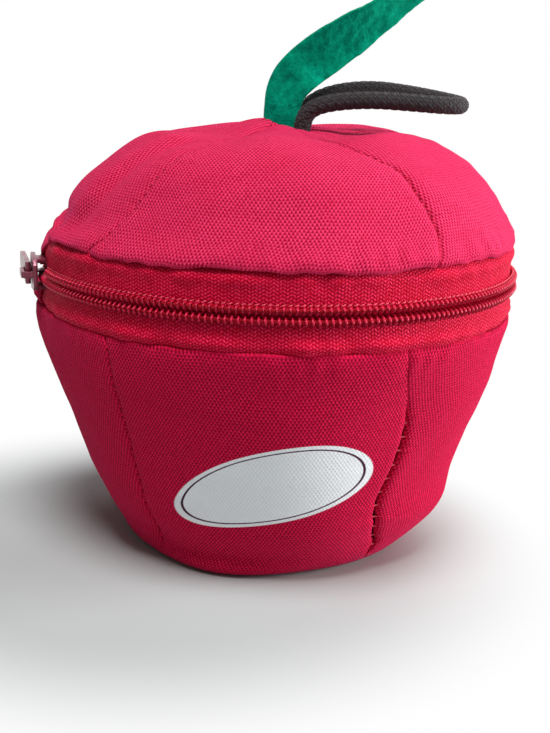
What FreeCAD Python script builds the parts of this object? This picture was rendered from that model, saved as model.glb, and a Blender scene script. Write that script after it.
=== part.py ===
import FreeCAD, Part
import math
import os
import random
from types import SimpleNamespace

import Sketcher

# A soft apple-shaped pouch for the tiles of a word game. A zip runs round its widest part.
# Above the zip five canvas panels make the lid, below it five more make the cup. Lid and cup
# stay joined by a cloth hinge tab between the ends of the zip. The cup holds the letter tiles.
#
# Frame: the origin is the middle of the flat base, +Z is up, the printed front panel faces -Y.
# Angles run anticlockwise from +X, seen from above, in degrees. Lengths are in millimetres.

SIZES = {
    # Canvas, tape and the play between pieces
    "cloth": 1.4,
    "tape": 0.6,
    "hinge_cloth": 1.2,
    "seam_gap": 0.1,
    "seat_gap": 0.15,
    "run_clearance": 0.3,
    "cut_overrun": 1.0,
    # The zip band: its height, its radius, and how far the tape shows on each side
    "zip_height": 67.0,
    "zip_radius": 57.0,
    "band_reach": 9.8,
    "band_flat": 5.4,
    "hem": 5.0,
    # Cup: flat base, rounded foot, leaning wall and rim
    "base_radius": 34.0,
    "foot_curve": 40.0,
    "foot_radius": 44.2,
    "foot_height": 14.5,
    "wall_curve": 400.0,
    "cup_rim": 57.0,
    "cup_hem_lean": 1.15,
    "cup_front_angle": 265.0,
    "cup_front_span": 70.0,
    # Lid: rim, shoulder, crown and the throat at its middle, as rises above the zip
    "lid_rim": 56.4,
    "lid_hem_lean": 2.9,
    "lid_curve": 44.0,
    "shoulder_radius": 39.5,
    "shoulder_rise": 29.8,
    "shoulder_curve": 42.0,
    "crown_radius": 16.0,
    "crown_rise": 34.3,
    "throat_radius": 8.4,
    "throat_rise": 33.9,
    "lid_front_angle": 270.0,
    "lid_front_span": 78.0,
    "gather_depth": 4.5,
    "gather_drop": 0.7,
    # Hinge tab and the two places where the slider parks, as angles from the tab's middle
    "hinge_angle": 147.0,
    "hinge_span": 40.0,
    "slider_angle": 48.0,
    "park_span": 14.0,
    # Zip chain, stops, slider and pull tab
    "chain_gap": 1.1,
    "coil": 1.9,
    "stop_length": 2.4,
    "stop_height": 2.2,
    "stop_depth": 1.2,
    "stop_angle": 39.4,
    "slider_length": 10.0,
    "slider_plate": 1.0,
    "slider_lip": 0.9,
    "mouth_flare": 0.7,
    "corner_cut": 1.2,
    "lip_inset": 0.6,
    "web_inset": 0.8,
    "web_length": 3.0,
    "bail_reach": 3.6,
    "bail_wall": 0.8,
    "bail_width": 1.5,
    "tab_bar": 1.3,
    "tab_play": 0.3,
    "tab_plate": 1.1,
    "tab_width": 5.2,
    "tab_end_width": 4.4,
    "tab_length": 20.0,
    "eye_length": 4.8,
    # Leaf and stem
    "leaf_width": 11.5,
    "leaf_thickness": 1.6,
    "leaf_reach": 41.0,
    "leaf_rise": 39.5,
    "leaf_twist": 45.0,
    "leaf_foot_shift": 0.6,
    "cord_diameter": 4.2,
    # Letter tiles and the folded leaflet
    "tile_side": 18.0,
    "tile_thickness": 4.5,
    "tile_round": 0.9,
    "tile_gap": 0.6,
    "tile_loose_gap": 4.5,
    "tile_stack_gap": 0.1,
    "leaflet_thickness": 0.8,
    "leaflet_angle": 60.0,
    "leaflet_span": 70.0,
}

# The wall leans, so measured level it is thicker than the cloth by these shares.
LID_SLANT_SHARE = 1.16
CUP_SLANT_SHARE = 1.03
# The inner corners of the foot's rounding, as shares of the cloth, inwards and upwards.
FOOT_IN_SHARE = 0.96
FOOT_UP_SHARE = 0.3
# The inner corner of the lid's shoulder, likewise inwards and downwards.
SHOULDER_IN_SHARE = 0.53
SHOULDER_DOWN_SHARE = 0.848
# Where the leaflet's lower and upper edges lie between the foot and the hem of the cup.
LEAFLET_LOW_SHARE = 0.08
LEAFLET_TOP_SHARE = 0.94
# The leaf from root to tip: shares of its reach, rise, width and twist.
LEAF_STATION_SHARES = [
    (0.00, 0.00, 0.68, 0.0),
    (0.00, 0.13, 0.66, 0.0),
    (0.03, 0.26, 0.78, 0.0),
    (0.12, 0.37, 0.95, 0.3),
    (0.30, 0.52, 1.00, 0.7),
    (0.52, 0.68, 0.92, 0.9),
    (0.76, 0.85, 0.66, 1.0),
    (1.00, 1.00, 0.14, 1.0),
]

PANEL_NAMES = ["front", "right", "rear_right", "rear_left", "left"]
FULL_TURN = 360.0
HALF_TURN = 180.0

# Every tile of the set, by its letter
TILE_LETTERS = (
    "aaaaaaaaaabbbcccddddeeeeeeeeeeeeeffggghhhiiiiiiiijk"
    "lllllmmmnnnnnnnoooooooopppqrrrrrrrsssssstttttttuuuuvvwwxyyz"
)
TILE_SEED = 11
LAYER_TURN = 137.5
YAW_SHARE = 0.85

# The stem's route: up out of the crown, out to the right, round a tight fold and back.
STEM_ROUTE = [
    (5.0, -3.1, 100.2), (5.0, -3.1, 103.6), (7.4, -3.5, 106.6), (13.4, -4.1, 108.1),
    (22.0, -4.6, 108.7), (30.6, -5.0, 108.3), (38.6, -4.9, 107.8), (43.0, -2.2, 107.7),
    (43.0, 2.2, 107.9), (38.6, 4.9, 108.7), (30.6, 5.2, 110.0), (22.0, 4.9, 110.9),
    (13.4, 4.2, 110.0), (7.4, 3.5, 107.7), (5.0, 3.1, 104.0), (5.0, 3.1, 100.2),
]
ARC_SHARE = 0.45


class Size:
    """A number together with the sheet formula that gives it."""

    def __init__(self, number, formula):
        self.number = number
        self.formula = formula

    def joined(self, sign, other, number):
        return Size(number, "(%s %s %s)" % (self.formula, sign, other.formula))

    def __add__(self, other):
        other = as_size(other)
        return self.joined("+", other, self.number + other.number)

    def __sub__(self, other):
        other = as_size(other)
        return self.joined("-", other, self.number - other.number)

    def __rsub__(self, other):
        return as_size(other) - self

    def __mul__(self, other):
        other = as_size(other)
        return self.joined("*", other, self.number * other.number)

    def __truediv__(self, other):
        other = as_size(other)
        return self.joined("/", other, self.number / other.number)

    def __neg__(self):
        return Size(-self.number, "(-1 * %s)" % self.formula)


def as_size(value):
    return value if isinstance(value, Size) else Size(value, repr(float(value)))


doc = FreeCAD.newDocument("WordGamePouch")
sheet = doc.addObject("Spreadsheet::Sheet", "Sizes")
for row, (alias, number) in enumerate(SIZES.items(), 1):
    sheet.set("A%d" % row, alias)
    sheet.set("B%d" % row, str(number))
    sheet.setAlias("B%d" % row, alias)
doc.recompute()
S = SimpleNamespace(**{alias: Size(float(sheet.get(alias)), "Sizes." + alias) for alias in SIZES})

UP = FreeCAD.Vector(0, 0, 1)
ACROSS = FreeCAD.Vector(1, 0, 0)
UPRIGHT_IN_SKETCH = FreeCAD.Vector(0, 1, 0)

pieces = []


def bind(thing, path, value):
    """Ties a property to the sheet."""
    thing.setExpression(path, as_size(value).formula)


def turned(angle):
    """A placement turned about the upright axis."""
    return FreeCAD.Placement(FreeCAD.Vector(), FreeCAD.Rotation(UP, as_size(angle).number))


def new_body(label, angle=0.0):
    body = doc.addObject("PartDesign::Body", label)
    body.Label = label
    body.Placement = turned(angle)
    return body


def new_sketch(body, name, role, offset=None):
    sketch = body.newObject("Sketcher::SketchObject", name)
    plane = [feature for feature in body.Origin.OriginFeatures if feature.Role == role][0]
    sketch.AttachmentSupport = [(plane, "")]
    sketch.MapMode = "FlatFace"
    if offset is not None:
        sketch.AttachmentOffset = offset
    return sketch


def fix(sketch, kind, axis, geometry, point, value):
    """Sets one coordinate of a sketch point, tied to the sheet."""
    value = as_size(value)
    if value.number == 0:
        sketch.addConstraint(Sketcher.Constraint("PointOnObject", geometry, point, axis))
        return
    if value.number > 0:
        ends = (-1, 1, geometry, point)
    else:
        ends = (geometry, point, -1, 1)
        value = -value
    index = sketch.addConstraint(Sketcher.Constraint(kind, *ends, value.number))
    bind(sketch, "Constraints[%d]" % index, value)


def fix_point(sketch, geometry, point, across, up):
    fix(sketch, "DistanceX", -2, geometry, point, across)
    fix(sketch, "DistanceY", -1, geometry, point, up)


def fix_radius(sketch, geometry, radius):
    index = sketch.addConstraint(Sketcher.Constraint("Radius", geometry, radius.number))
    bind(sketch, "Constraints[%d]" % index, radius)


def arc_between(start, end, radius):
    """A sketch arc; its centre lies left of the way from start to end for a positive radius."""
    way = end - start
    half = way.Length / 2
    size = abs(radius)
    sagitta = size - math.sqrt(size * size - half * half)
    right = FreeCAD.Vector(way.y, -way.x, 0).normalize()
    middle = (start + end) / 2 + right * (sagitta if radius > 0 else -sagitta)
    return Part.Arc(start, middle, end) if radius > 0 else Part.Arc(end, middle, start)


def add_outline(sketch, corners):
    """Adds a closed outline. A corner is (across, up) or (across, up, radius of the arc after it)."""
    spots = [FreeCAD.Vector(as_size(c[0]).number, as_size(c[1]).number, 0) for c in corners]
    runs = []
    for number, corner in enumerate(corners):
        start = spots[number]
        end = spots[(number + 1) % len(corners)]
        radius = corner[2] if len(corner) > 2 else None
        if radius is None:
            runs.append((sketch.addGeometry(Part.LineSegment(start, end)), 1, 2))
        else:
            geometry = sketch.addGeometry(arc_between(start, end, radius.number))
            runs.append((geometry, 1, 2) if radius.number > 0 else (geometry, 2, 1))
    for number, corner in enumerate(corners):
        geometry, first, last = runs[number]
        following, following_first, _ = runs[(number + 1) % len(runs)]
        sketch.addConstraint(Sketcher.Constraint("Coincident", geometry, last, following, following_first))
        fix_point(sketch, geometry, first, corner[0], corner[1])
        if len(corner) > 2:
            radius = corner[2]
            fix_radius(sketch, geometry, radius if radius.number > 0 else -radius)


def add_circle(sketch, across, up, radius):
    centre = FreeCAD.Vector(as_size(across).number, as_size(up).number, 0)
    geometry = sketch.addGeometry(Part.Circle(centre, UP, radius.number))
    fix_point(sketch, geometry, 3, across, up)
    fix_radius(sketch, geometry, radius)


def revolve(body, sketch, angle, kind="PartDesign::Revolution"):
    """Turns a sketch about the upright axis, half the angle to each side of its plane."""
    feature = body.newObject(kind, body.Label + "_" + kind.split("::")[1] + sketch.Name)
    feature.Profile = sketch
    feature.ReferenceAxis = (sketch, ["V_Axis"])
    feature.Midplane = True
    bind(feature, "Angle", angle)
    sketch.Visibility = False
    return feature


def pad(body, sketch, length, symmetric=False):
    feature = body.newObject("PartDesign::Pad", body.Label + "_Pad" + sketch.Name)
    feature.Profile = sketch
    if symmetric:
        feature.SideType = "Symmetric"
    bind(feature, "Length", length)
    return feature


def ring_piece(label, corners, span, angle):
    """A piece turned from one outline, over a span about a direction."""
    body = new_body(label, angle)
    sketch = new_sketch(body, label + "_outline", "XZ_Plane")
    add_outline(sketch, corners)
    revolve(body, sketch, span)
    pieces.append(body)
    return body


def box_outline(low_across, high_across, low_up, high_up):
    return [(low_across, low_up), (high_across, low_up), (high_across, high_up), (low_across, high_up)]


# Heights and level wall thicknesses that several pieces share
lid_seam = S.zip_height + S.band_reach
cup_seam = S.zip_height - S.band_reach
lid_across = S.cloth * LID_SLANT_SHARE
cup_across = S.cloth * CUP_SLANT_SHARE
shoulder_up = S.zip_height + S.shoulder_rise
crown_up = S.zip_height + S.crown_rise
throat_up = S.zip_height + S.throat_rise
half_gap = S.chain_gap / 2
zip_middle_angle = S.hinge_angle + HALF_TURN

# The inner corners of the cup's foot and of the upper end of its wall
foot_in = S.foot_radius - S.cloth * FOOT_IN_SHARE
foot_in_up = S.foot_height + S.cloth * FOOT_UP_SHARE
wall_top_in = S.cup_rim - S.cup_hem_lean - cup_across
wall_top_up = cup_seam - S.hem


def panel_spans(front_angle, front_span):
    """Direction and span of each panel: the front one as it is, the others share the rest."""
    other_span = (FULL_TURN - front_span) / (len(PANEL_NAMES) - 1)
    spans = [(front_angle, front_span)]
    for number in range(1, len(PANEL_NAMES)):
        spans.append((front_angle + front_span / 2 + other_span * (number - 0.5), other_span))
    return spans


def make_cup_panels():
    outline = [
        (0, 0),
        (S.base_radius, 0, S.foot_curve),
        (S.foot_radius, S.foot_height, S.wall_curve),
        (S.cup_rim - S.cup_hem_lean, wall_top_up),
        (S.cup_rim, cup_seam),
        (S.cup_rim - cup_across, cup_seam),
        (wall_top_in, wall_top_up, -(S.wall_curve - S.cloth)),
        (foot_in, foot_in_up, -(S.foot_curve - S.cloth)),
        (S.base_radius - S.cloth * FOOT_UP_SHARE, S.cloth),
        (0, S.cloth),
    ]
    for name, (angle, span) in zip(PANEL_NAMES, panel_spans(S.cup_front_angle, S.cup_front_span)):
        ring_piece("cup_panel_" + name, outline, span, angle)


def make_lid_panels():
    shoulder_in = S.shoulder_radius - S.cloth * SHOULDER_IN_SHARE
    shoulder_in_up = shoulder_up - S.cloth * SHOULDER_DOWN_SHARE
    outline = [
        (S.lid_rim, lid_seam),
        (S.lid_rim - S.lid_hem_lean, lid_seam + S.hem, S.lid_curve),
        (S.shoulder_radius, shoulder_up, S.shoulder_curve),
        (S.crown_radius, crown_up),
        (S.throat_radius, throat_up),
        (S.throat_radius, throat_up - S.cloth),
        (S.crown_radius, crown_up - S.cloth, -(S.shoulder_curve - S.cloth)),
        (shoulder_in, shoulder_in_up, -(S.lid_curve - S.cloth)),
        (S.lid_rim - S.lid_hem_lean - lid_across, lid_seam + S.hem),
        (S.lid_rim - lid_across, lid_seam),
    ]
    for name, (angle, span) in zip(PANEL_NAMES, panel_spans(S.lid_front_angle, S.lid_front_span)):
        ring_piece("lid_panel_" + name, outline, span, angle)


def band_outline(side, rim_in, hem_lean, thickness):
    """Section of the band from the zip's edge to its hem behind the panels, above or below."""
    seam_in = rim_in - S.seam_gap
    hem_in = seam_in - hem_lean
    edge = S.zip_height + half_gap * side
    flat = S.zip_height + S.band_flat * side
    seam = S.zip_height + S.band_reach * side
    hem = seam + S.hem * side
    return [
        (S.zip_radius, edge),
        (S.zip_radius, flat),
        (seam_in, seam),
        (hem_in, hem),
        (hem_in - thickness, hem),
        (seam_in - thickness, seam),
        (S.zip_radius - thickness, flat),
        (S.zip_radius - thickness, edge),
    ]


def upper_band(thickness):
    return band_outline(1, S.lid_rim - lid_across, S.lid_hem_lean, thickness)


def lower_band(thickness):
    return band_outline(-1, S.cup_rim - cup_across, S.cup_hem_lean, thickness)


# The slider's sizes across the zip and outwards
lip_in = half_gap + S.coil + S.run_clearance
lip_out = lip_in + S.slider_lip
mouth_half = lip_out + S.mouth_flare
plate_in = S.zip_radius + S.seam_gap + S.coil + S.run_clearance
plate_out = plate_in + S.slider_plate
tape_sag = S.slider_length * S.slider_length / ((S.zip_radius - S.tape) * 8)
back_out = S.zip_radius - S.tape - S.run_clearance - tape_sag
pivot_radius = plate_out + S.tab_play + S.tab_bar / 2
slider_rest_angle = S.hinge_angle + S.slider_angle


def make_zip_tapes():
    span = FULL_TURN - S.hinge_span
    upper = ring_piece("zip_tape_upper", upper_band(S.tape), span, zip_middle_angle)
    ring_piece("zip_tape_lower", lower_band(S.tape), span, zip_middle_angle)
    doc.recompute()
    # The upper tape is cut back over both parked positions, so that the lid lifts off the slider.
    for number, side in enumerate((-1, 1)):
        before = upper.Shape.Volume
        park = (HALF_TURN - S.slider_angle.number) * side
        offset = FreeCAD.Placement(FreeCAD.Vector(), FreeCAD.Rotation(UPRIGHT_IN_SKETCH, park))
        sketch = new_sketch(upper, "park_%d" % number, "XZ_Plane", offset)
        add_outline(sketch, box_outline(
            S.zip_radius - S.tape - S.cut_overrun,
            S.zip_radius + S.cut_overrun,
            S.zip_height - S.cut_overrun,
            S.zip_height + mouth_half + S.run_clearance,
        ))
        revolve(upper, sketch, S.park_span, "PartDesign::Groove")
        doc.recompute()
        if upper.Shape.Volume >= before:
            raise RuntimeError("the parking cut misses the tape")


def make_zip_coils():
    radius = S.coil / 2
    parked_span = S.slider_angle * 2 + S.park_span
    stopped_span = S.slider_angle * 2 - S.park_span
    for name, side, lost in (("upper", 1, parked_span), ("lower", -1, stopped_span)):
        body = new_body("zip_coil_" + name, zip_middle_angle)
        sketch = new_sketch(body, "coil_section_" + name, "XZ_Plane")
        across = S.zip_radius + S.seam_gap + radius
        add_circle(sketch, across, S.zip_height + (half_gap + radius) * side, radius)
        revolve(body, sketch, FULL_TURN - lost)
        pieces.append(body)


def make_hinge_tabs():
    ring_piece("hinge_tab_upper", upper_band(S.hinge_cloth), S.hinge_span, S.hinge_angle)
    ring_piece("hinge_tab_lower", lower_band(S.hinge_cloth), S.hinge_span, S.hinge_angle)


def make_zip_stops():
    """A pressed-on block at the end of each coil, behind the parked slider."""
    turn = turned(S.hinge_angle + S.stop_angle)
    for name, low in (("upper", S.zip_height + half_gap), ("lower", S.zip_height - half_gap - S.stop_height)):
        stop = doc.addObject("Part::Box", "zip_stop_" + name)
        stop.Label = "zip_stop_" + name
        bind(stop, "Length", S.stop_depth)
        bind(stop, "Width", S.stop_length)
        bind(stop, "Height", S.stop_height)
        corner = FreeCAD.Vector((S.zip_radius + S.seam_gap).number, -S.stop_length.number / 2, low.number)
        stop.Placement = turn * FreeCAD.Placement(corner, FreeCAD.Rotation())
        pieces.append(stop)


def raised(distance):
    """An offset along a sketch plane's normal."""
    return FreeCAD.Placement(FreeCAD.Vector(0, 0, distance.number), FreeCAD.Rotation())


def slider_sketch(body, name, distance):
    """A sketch square to the radius, at a distance from the axis: tangent across, height up."""
    sketch = new_sketch(body, name, "YZ_Plane", raised(distance))
    bind(sketch, "AttachmentOffset.Base.z", distance)
    return sketch


def plate_outline():
    """The slider's plate: wide at the mouth, narrow at the tail, with its corners cut."""
    back = -(S.slider_length / 2)
    front = S.slider_length / 2
    cut = S.corner_cut
    upper = [
        (front, S.zip_height + lip_out - cut),
        (front - cut, S.zip_height + lip_out),
        (back + cut, S.zip_height + mouth_half),
        (back, S.zip_height + mouth_half - cut),
    ]
    lower = [
        (back, S.zip_height - mouth_half + cut),
        (back + cut, S.zip_height - mouth_half),
        (front - cut, S.zip_height - lip_out),
        (front, S.zip_height - lip_out + cut),
    ]
    return upper + lower


def make_slider():
    """Two plates joined by a web between the coils, lips over the coils, and the bail in front."""
    body = new_body("zip_slider", slider_rest_angle)
    back = -(S.slider_length / 2)
    front = S.slider_length / 2
    plate = slider_sketch(body, "slider_front_plate", plate_in)
    add_outline(plate, plate_outline())
    pad(body, plate, S.slider_plate)

    web_start = back + S.web_inset
    half_web = half_gap - S.run_clearance
    web = slider_sketch(body, "slider_web", back_out)
    add_outline(web, box_outline(
        web_start, web_start + S.web_length, S.zip_height - half_web, S.zip_height + half_web))
    pad(body, web, plate_in - back_out)

    rear = slider_sketch(body, "slider_back_plate", back_out - S.slider_plate)
    add_outline(rear, plate_outline())
    pad(body, rear, S.slider_plate)

    lip_tip = S.zip_radius + S.run_clearance
    lips = slider_sketch(body, "slider_lips", lip_tip)
    lip_ends = (back + S.lip_inset + S.corner_cut, front - S.lip_inset - S.corner_cut)
    add_outline(lips, box_outline(*lip_ends, S.zip_height + lip_in, S.zip_height + lip_out))
    add_outline(lips, box_outline(*lip_ends, S.zip_height - lip_out, S.zip_height - lip_in))
    pad(body, lips, plate_in - lip_tip)

    bail_in = plate_out + S.tab_bar + S.tab_play * 2
    bail_out = bail_in + S.bail_wall
    reach = S.bail_reach
    inner = S.bail_reach - S.bail_wall
    bail = new_sketch(body, "slider_bail", "XY_Plane", raised(S.zip_height))
    bind(bail, "AttachmentOffset.Base.z", S.zip_height)
    add_outline(bail, [
        (plate_out, -reach),
        (bail_out - S.bail_wall, -reach),
        (bail_out, -inner),
        (bail_out, inner),
        (bail_out - S.bail_wall, reach),
        (plate_out, reach),
        (plate_out, inner),
        (bail_in, inner),
        (bail_in, -inner),
        (plate_out, -inner),
    ])
    pad(body, bail, S.bail_width, symmetric=True)
    pieces.append(body)


def make_pull_tab():
    """A tongue with an eye round the bail, turning on a bar under it."""
    body = new_body("pull_tab", slider_rest_angle)
    middle = S.zip_height
    half = S.tab_width / 2
    end_half = S.tab_end_width / 2
    tip = -S.tab_length
    tongue = slider_sketch(body, "tab_tongue", pivot_radius - S.tab_plate / 2)
    add_outline(tongue, [
        (0, middle - half),
        (0, middle + half),
        (-S.eye_length, middle + half),
        (tip + end_half, middle + end_half, end_half),
        (tip, middle, end_half),
        (tip + end_half, middle - end_half),
        (-S.eye_length, middle - half),
    ])
    eye_half = S.bail_width / 2 + S.run_clearance
    add_outline(tongue, box_outline(-S.eye_length, -(S.tab_bar / 4), middle - eye_half, middle + eye_half))
    pad(body, tongue, S.tab_plate)
    bar = new_sketch(body, "tab_bar_section", "XY_Plane", raised(S.zip_height))
    bind(bar, "AttachmentOffset.Base.z", S.zip_height)
    add_circle(bar, pivot_radius, 0, S.tab_bar / 2)
    pad(body, bar, S.tab_width, symmetric=True)
    pieces.append(body)


gather_top = throat_up - S.gather_drop


def make_crown_gather():
    """The gathered ends of the lid panels, sewn round the roots of stem and leaf."""
    gather = doc.addObject("Part::Cylinder", "crown_gather")
    gather.Label = "crown_gather"
    bind(gather, "Radius", S.throat_radius - S.seat_gap)
    bind(gather, "Height", S.gather_depth)
    low = gather_top - S.gather_depth
    gather.Placement = FreeCAD.Placement(FreeCAD.Vector(0, 0, low.number), FreeCAD.Rotation())
    pieces.append(gather)


def leaf_stations():
    """Middle, way, width and twist of each section of the leaf."""
    middles = []
    for reach_share, rise_share, _, _ in LEAF_STATION_SHARES:
        across = (S.leaf_reach * reach_share - S.leaf_foot_shift).number
        middles.append(FreeCAD.Vector(across, 0, (gather_top + S.leaf_rise * rise_share).number))
    stations = []
    for number, (_, _, width_share, twist_share) in enumerate(LEAF_STATION_SHARES):
        way = middles[min(number + 1, len(middles) - 1)] - middles[max(number - 1, 0)]
        if number == 0:
            way = FreeCAD.Vector(UP)
        stations.append((middles[number], way.normalize(), S.leaf_width * width_share, S.leaf_twist * twist_share))
    return stations


def make_leaf():
    body = new_body("leaf")
    half_thick = S.leaf_thickness / 2
    sections = []
    for number, (middle, way, width, twist) in enumerate(leaf_stations()):
        facing = FreeCAD.Rotation(way, -twist.number) * FreeCAD.Rotation(UP, way)
        offset = FreeCAD.Placement(middle, facing)
        sketch = new_sketch(body, "leaf_section_%d" % number, "XY_Plane", offset)
        add_outline(sketch, box_outline(-(width / 2), width / 2, -half_thick, half_thick))
        sections.append(sketch)
    loft = body.newObject("PartDesign::AdditiveLoft", "leaf_loft")
    loft.Profile = sections[0]
    loft.Sections = sections[1:]
    loft.Ruled = True
    pieces.append(body)


def route_edges(points):
    """Straight runs joined by tangent arcs, each as large as its two runs allow."""
    spots = [FreeCAD.Vector(*point) for point in points]
    edges = []
    radii = []
    start = spots[0]
    for before, spot, after in zip(spots, spots[1:], spots[2:]):
        way_in = (spot - before).normalize()
        way_out = (after - spot).normalize()
        turn = way_in.getAngle(way_out)
        cut = ARC_SHARE * min((spot - before).Length, (after - spot).Length)
        radius = cut / math.tan(turn / 2)
        entry = spot - way_in * cut
        leave = spot + way_out * cut
        inwards = (way_out - way_in).normalize()
        middle = spot + inwards * (radius / math.cos(turn / 2) - radius)
        edges.append(Part.LineSegment(start, entry).toShape())
        edges.append(Part.Arc(entry, middle, leave).toShape())
        radii.append(round(radius, 2))
        start = leave
    edges.append(Part.LineSegment(start, spots[-1]).toShape())
    return edges, radii


def make_stem():
    """A loop of braided cord, both ends sewn into the crown."""
    edges, radii = route_edges(STEM_ROUTE)
    path = Part.Wire(edges)
    circle = Part.Circle(FreeCAD.Vector(*STEM_ROUTE[0]), UP, S.cord_diameter.number / 2)
    section = Part.Wire(circle.toShape())
    stem = doc.addObject("Part::Feature", "stem_loop")
    stem.Label = "stem_loop"
    stem.Shape = path.makePipeShell([section], True, False)
    stem.Placement = FreeCAD.Placement()
    expected = math.pi * (S.cord_diameter.number / 2) ** 2 * path.Length
    print("stem: length %.1f, radii %s" % (path.Length, radii))
    print("stem: volume %.0f, section times length %.0f" % (stem.Shape.Volume, expected))
    pieces.append(stem)


def make_leaflet():
    """The folded rules, curled against the wall of the cup."""
    low_in = foot_in + (wall_top_in - foot_in) * LEAFLET_LOW_SHARE - S.seam_gap
    top_in = foot_in + (wall_top_in - foot_in) * LEAFLET_TOP_SHARE - S.seam_gap
    low_up = foot_in_up + (wall_top_up - foot_in_up) * LEAFLET_LOW_SHARE
    top_up = foot_in_up + (wall_top_up - foot_in_up) * LEAFLET_TOP_SHARE
    outline = [
        (low_in, low_up),
        (top_in, top_up),
        (top_in - S.leaflet_thickness, top_up),
        (low_in - S.leaflet_thickness, low_up),
    ]
    ring_piece("rules_leaflet", outline, S.leaflet_span, S.leaflet_angle)


def cup_room(up):
    """Radius that is free for tiles at a height, inside the leaflet."""
    wall = [
        (S.cloth.number, (S.base_radius - S.cloth * FOOT_UP_SHARE).number),
        (foot_in_up.number, foot_in.number),
        (wall_top_up.number, wall_top_in.number),
    ]
    room = wall[-1][1]
    for (low, narrow), (high, wide) in zip(wall, wall[1:]):
        if low <= up < high:
            room = narrow + (wide - narrow) * (up - low) / (high - low)
            break
    return room - S.leaflet_thickness.number - S.seam_gap.number - S.run_clearance.number


def cells(room, pitch, first_row):
    """Square cells in straight rows inside a circle, as many as fit in each row."""
    found = []
    half = pitch / 2
    row = first_row
    while row + half < room:
        length = math.sqrt(room * room - (row + half) ** 2)
        count = int((2 * length - pitch) / pitch) + 1 if length > half else 0
        for across in [(number - (count - 1) / 2) * pitch for number in range(count)]:
            found.append((across, row))
            if row > 0:
                found.append((across, -row))
        row += pitch
    return found


def fullest_layer(room, pitch):
    return max((cells(room, pitch, first) for first in (0, pitch / 2)), key=len)


def tile_places(count):
    """Layers of tiles that fill the cup from its base; the last few lie loose on top."""
    chance = random.Random(TILE_SEED)
    side = S.tile_side.number
    up = S.cloth.number + S.tile_stack_gap.number
    turn = 0.0
    places = []
    while len(places) < count:
        room = cup_room(up)
        left = count - len(places)
        pitch = side + S.tile_gap.number
        layer = fullest_layer(room, pitch)
        loose_pitch = side + S.tile_loose_gap.number
        loose = fullest_layer(room, loose_pitch)
        if left <= len(loose):
            layer = loose
            pitch = loose_pitch
        most_yaw = math.degrees(math.asin(min(1.0, (pitch / side) ** 2 - 1)) / 2)
        layer_turn = FreeCAD.Rotation(UP, turn)
        for across, row in layer[:left]:
            yaw = chance.uniform(-1, 1) * most_yaw * YAW_SHARE
            spot = layer_turn.multVec(FreeCAD.Vector(across, row, 0)) + UP * up
            places.append(FreeCAD.Placement(spot, FreeCAD.Rotation(UP, turn + yaw)))
        up += S.tile_thickness.number + S.tile_stack_gap.number
        turn += LAYER_TURN
    return places


def make_tile_blank():
    """One rounded tile, which the letter groups repeat."""
    body = new_body("tile_blank")
    sketch = new_sketch(body, "tile_outline", "XY_Plane")
    half = S.tile_side / 2
    add_outline(sketch, box_outline(-half, half, -half, half))
    block = pad(body, sketch, S.tile_thickness)
    doc.recompute()
    rounding = body.newObject("PartDesign::Fillet", "tile_rounding")
    rounding.Base = (block, ["Edge%d" % (number + 1) for number in range(len(block.Shape.Edges))])
    bind(rounding, "Radius", S.tile_round)
    doc.recompute()
    return body


def make_tiles():
    """A node for each letter, with a separate solid for each of its tiles."""
    blank = make_tile_blank()
    letters = list(TILE_LETTERS)
    random.Random(TILE_SEED).shuffle(letters)
    places = tile_places(len(letters))
    for letter in sorted(set(TILE_LETTERS)):
        tiles = []
        for name, place in zip(letters, places):
            if name == letter:
                tile = blank.Shape.copy()
                tile.Placement = place
                tiles.append(tile)
        group = doc.addObject("Part::Feature", "letter_tiles_" + letter)
        group.Label = "letter_tiles_" + letter
        group.Shape = Part.makeCompound(tiles)
        group.Placement = FreeCAD.Placement()
        pieces.append(group)
    top = max(place.Base.z for place in places) + S.tile_thickness.number
    print("tiles: %d, top at %.1f, rim at %.1f" % (len(places), top, cup_seam.number))


def check_and_write():
    doc.recompute()
    for thing in doc.Objects:
        if "Invalid" in thing.State or "Error" in thing.State:
            raise RuntimeError("%s failed: %s" % (thing.Label, thing.State))
    for piece in pieces:
        if piece.Shape.isNull() or not piece.Shape.isValid():
            raise RuntimeError("%s has no valid shape" % piece.Label)
    os.makedirs("parts", exist_ok=True)
    for piece in pieces:
        piece.Shape.exportStep("parts/%s.step" % piece.Label)
    print("%d nodes, %d solids" % (len(pieces), sum(len(piece.Shape.Solids) for piece in pieces)))


make_cup_panels()
make_lid_panels()
make_zip_tapes()
make_zip_coils()
make_zip_stops()
make_hinge_tabs()
make_slider()
make_pull_tab()
make_crown_gather()
make_leaf()
make_stem()
make_leaflet()
make_tiles()
check_and_write()
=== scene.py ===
import bpy
import math
import numpy as np
from mathutils import Matrix, Vector


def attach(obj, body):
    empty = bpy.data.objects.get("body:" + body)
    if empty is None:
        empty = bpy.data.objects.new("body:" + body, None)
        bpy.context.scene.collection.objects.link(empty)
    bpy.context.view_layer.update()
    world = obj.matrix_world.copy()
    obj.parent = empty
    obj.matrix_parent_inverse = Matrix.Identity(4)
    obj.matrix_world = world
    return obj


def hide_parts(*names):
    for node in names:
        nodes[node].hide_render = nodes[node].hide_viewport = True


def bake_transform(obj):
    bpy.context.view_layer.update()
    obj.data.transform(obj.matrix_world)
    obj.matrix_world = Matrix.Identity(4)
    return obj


# An apple-shaped canvas pouch for the letter tiles of a word game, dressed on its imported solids.
# Numbers are millimetres and degrees until a mesh is made, which turns them into metres.

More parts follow.
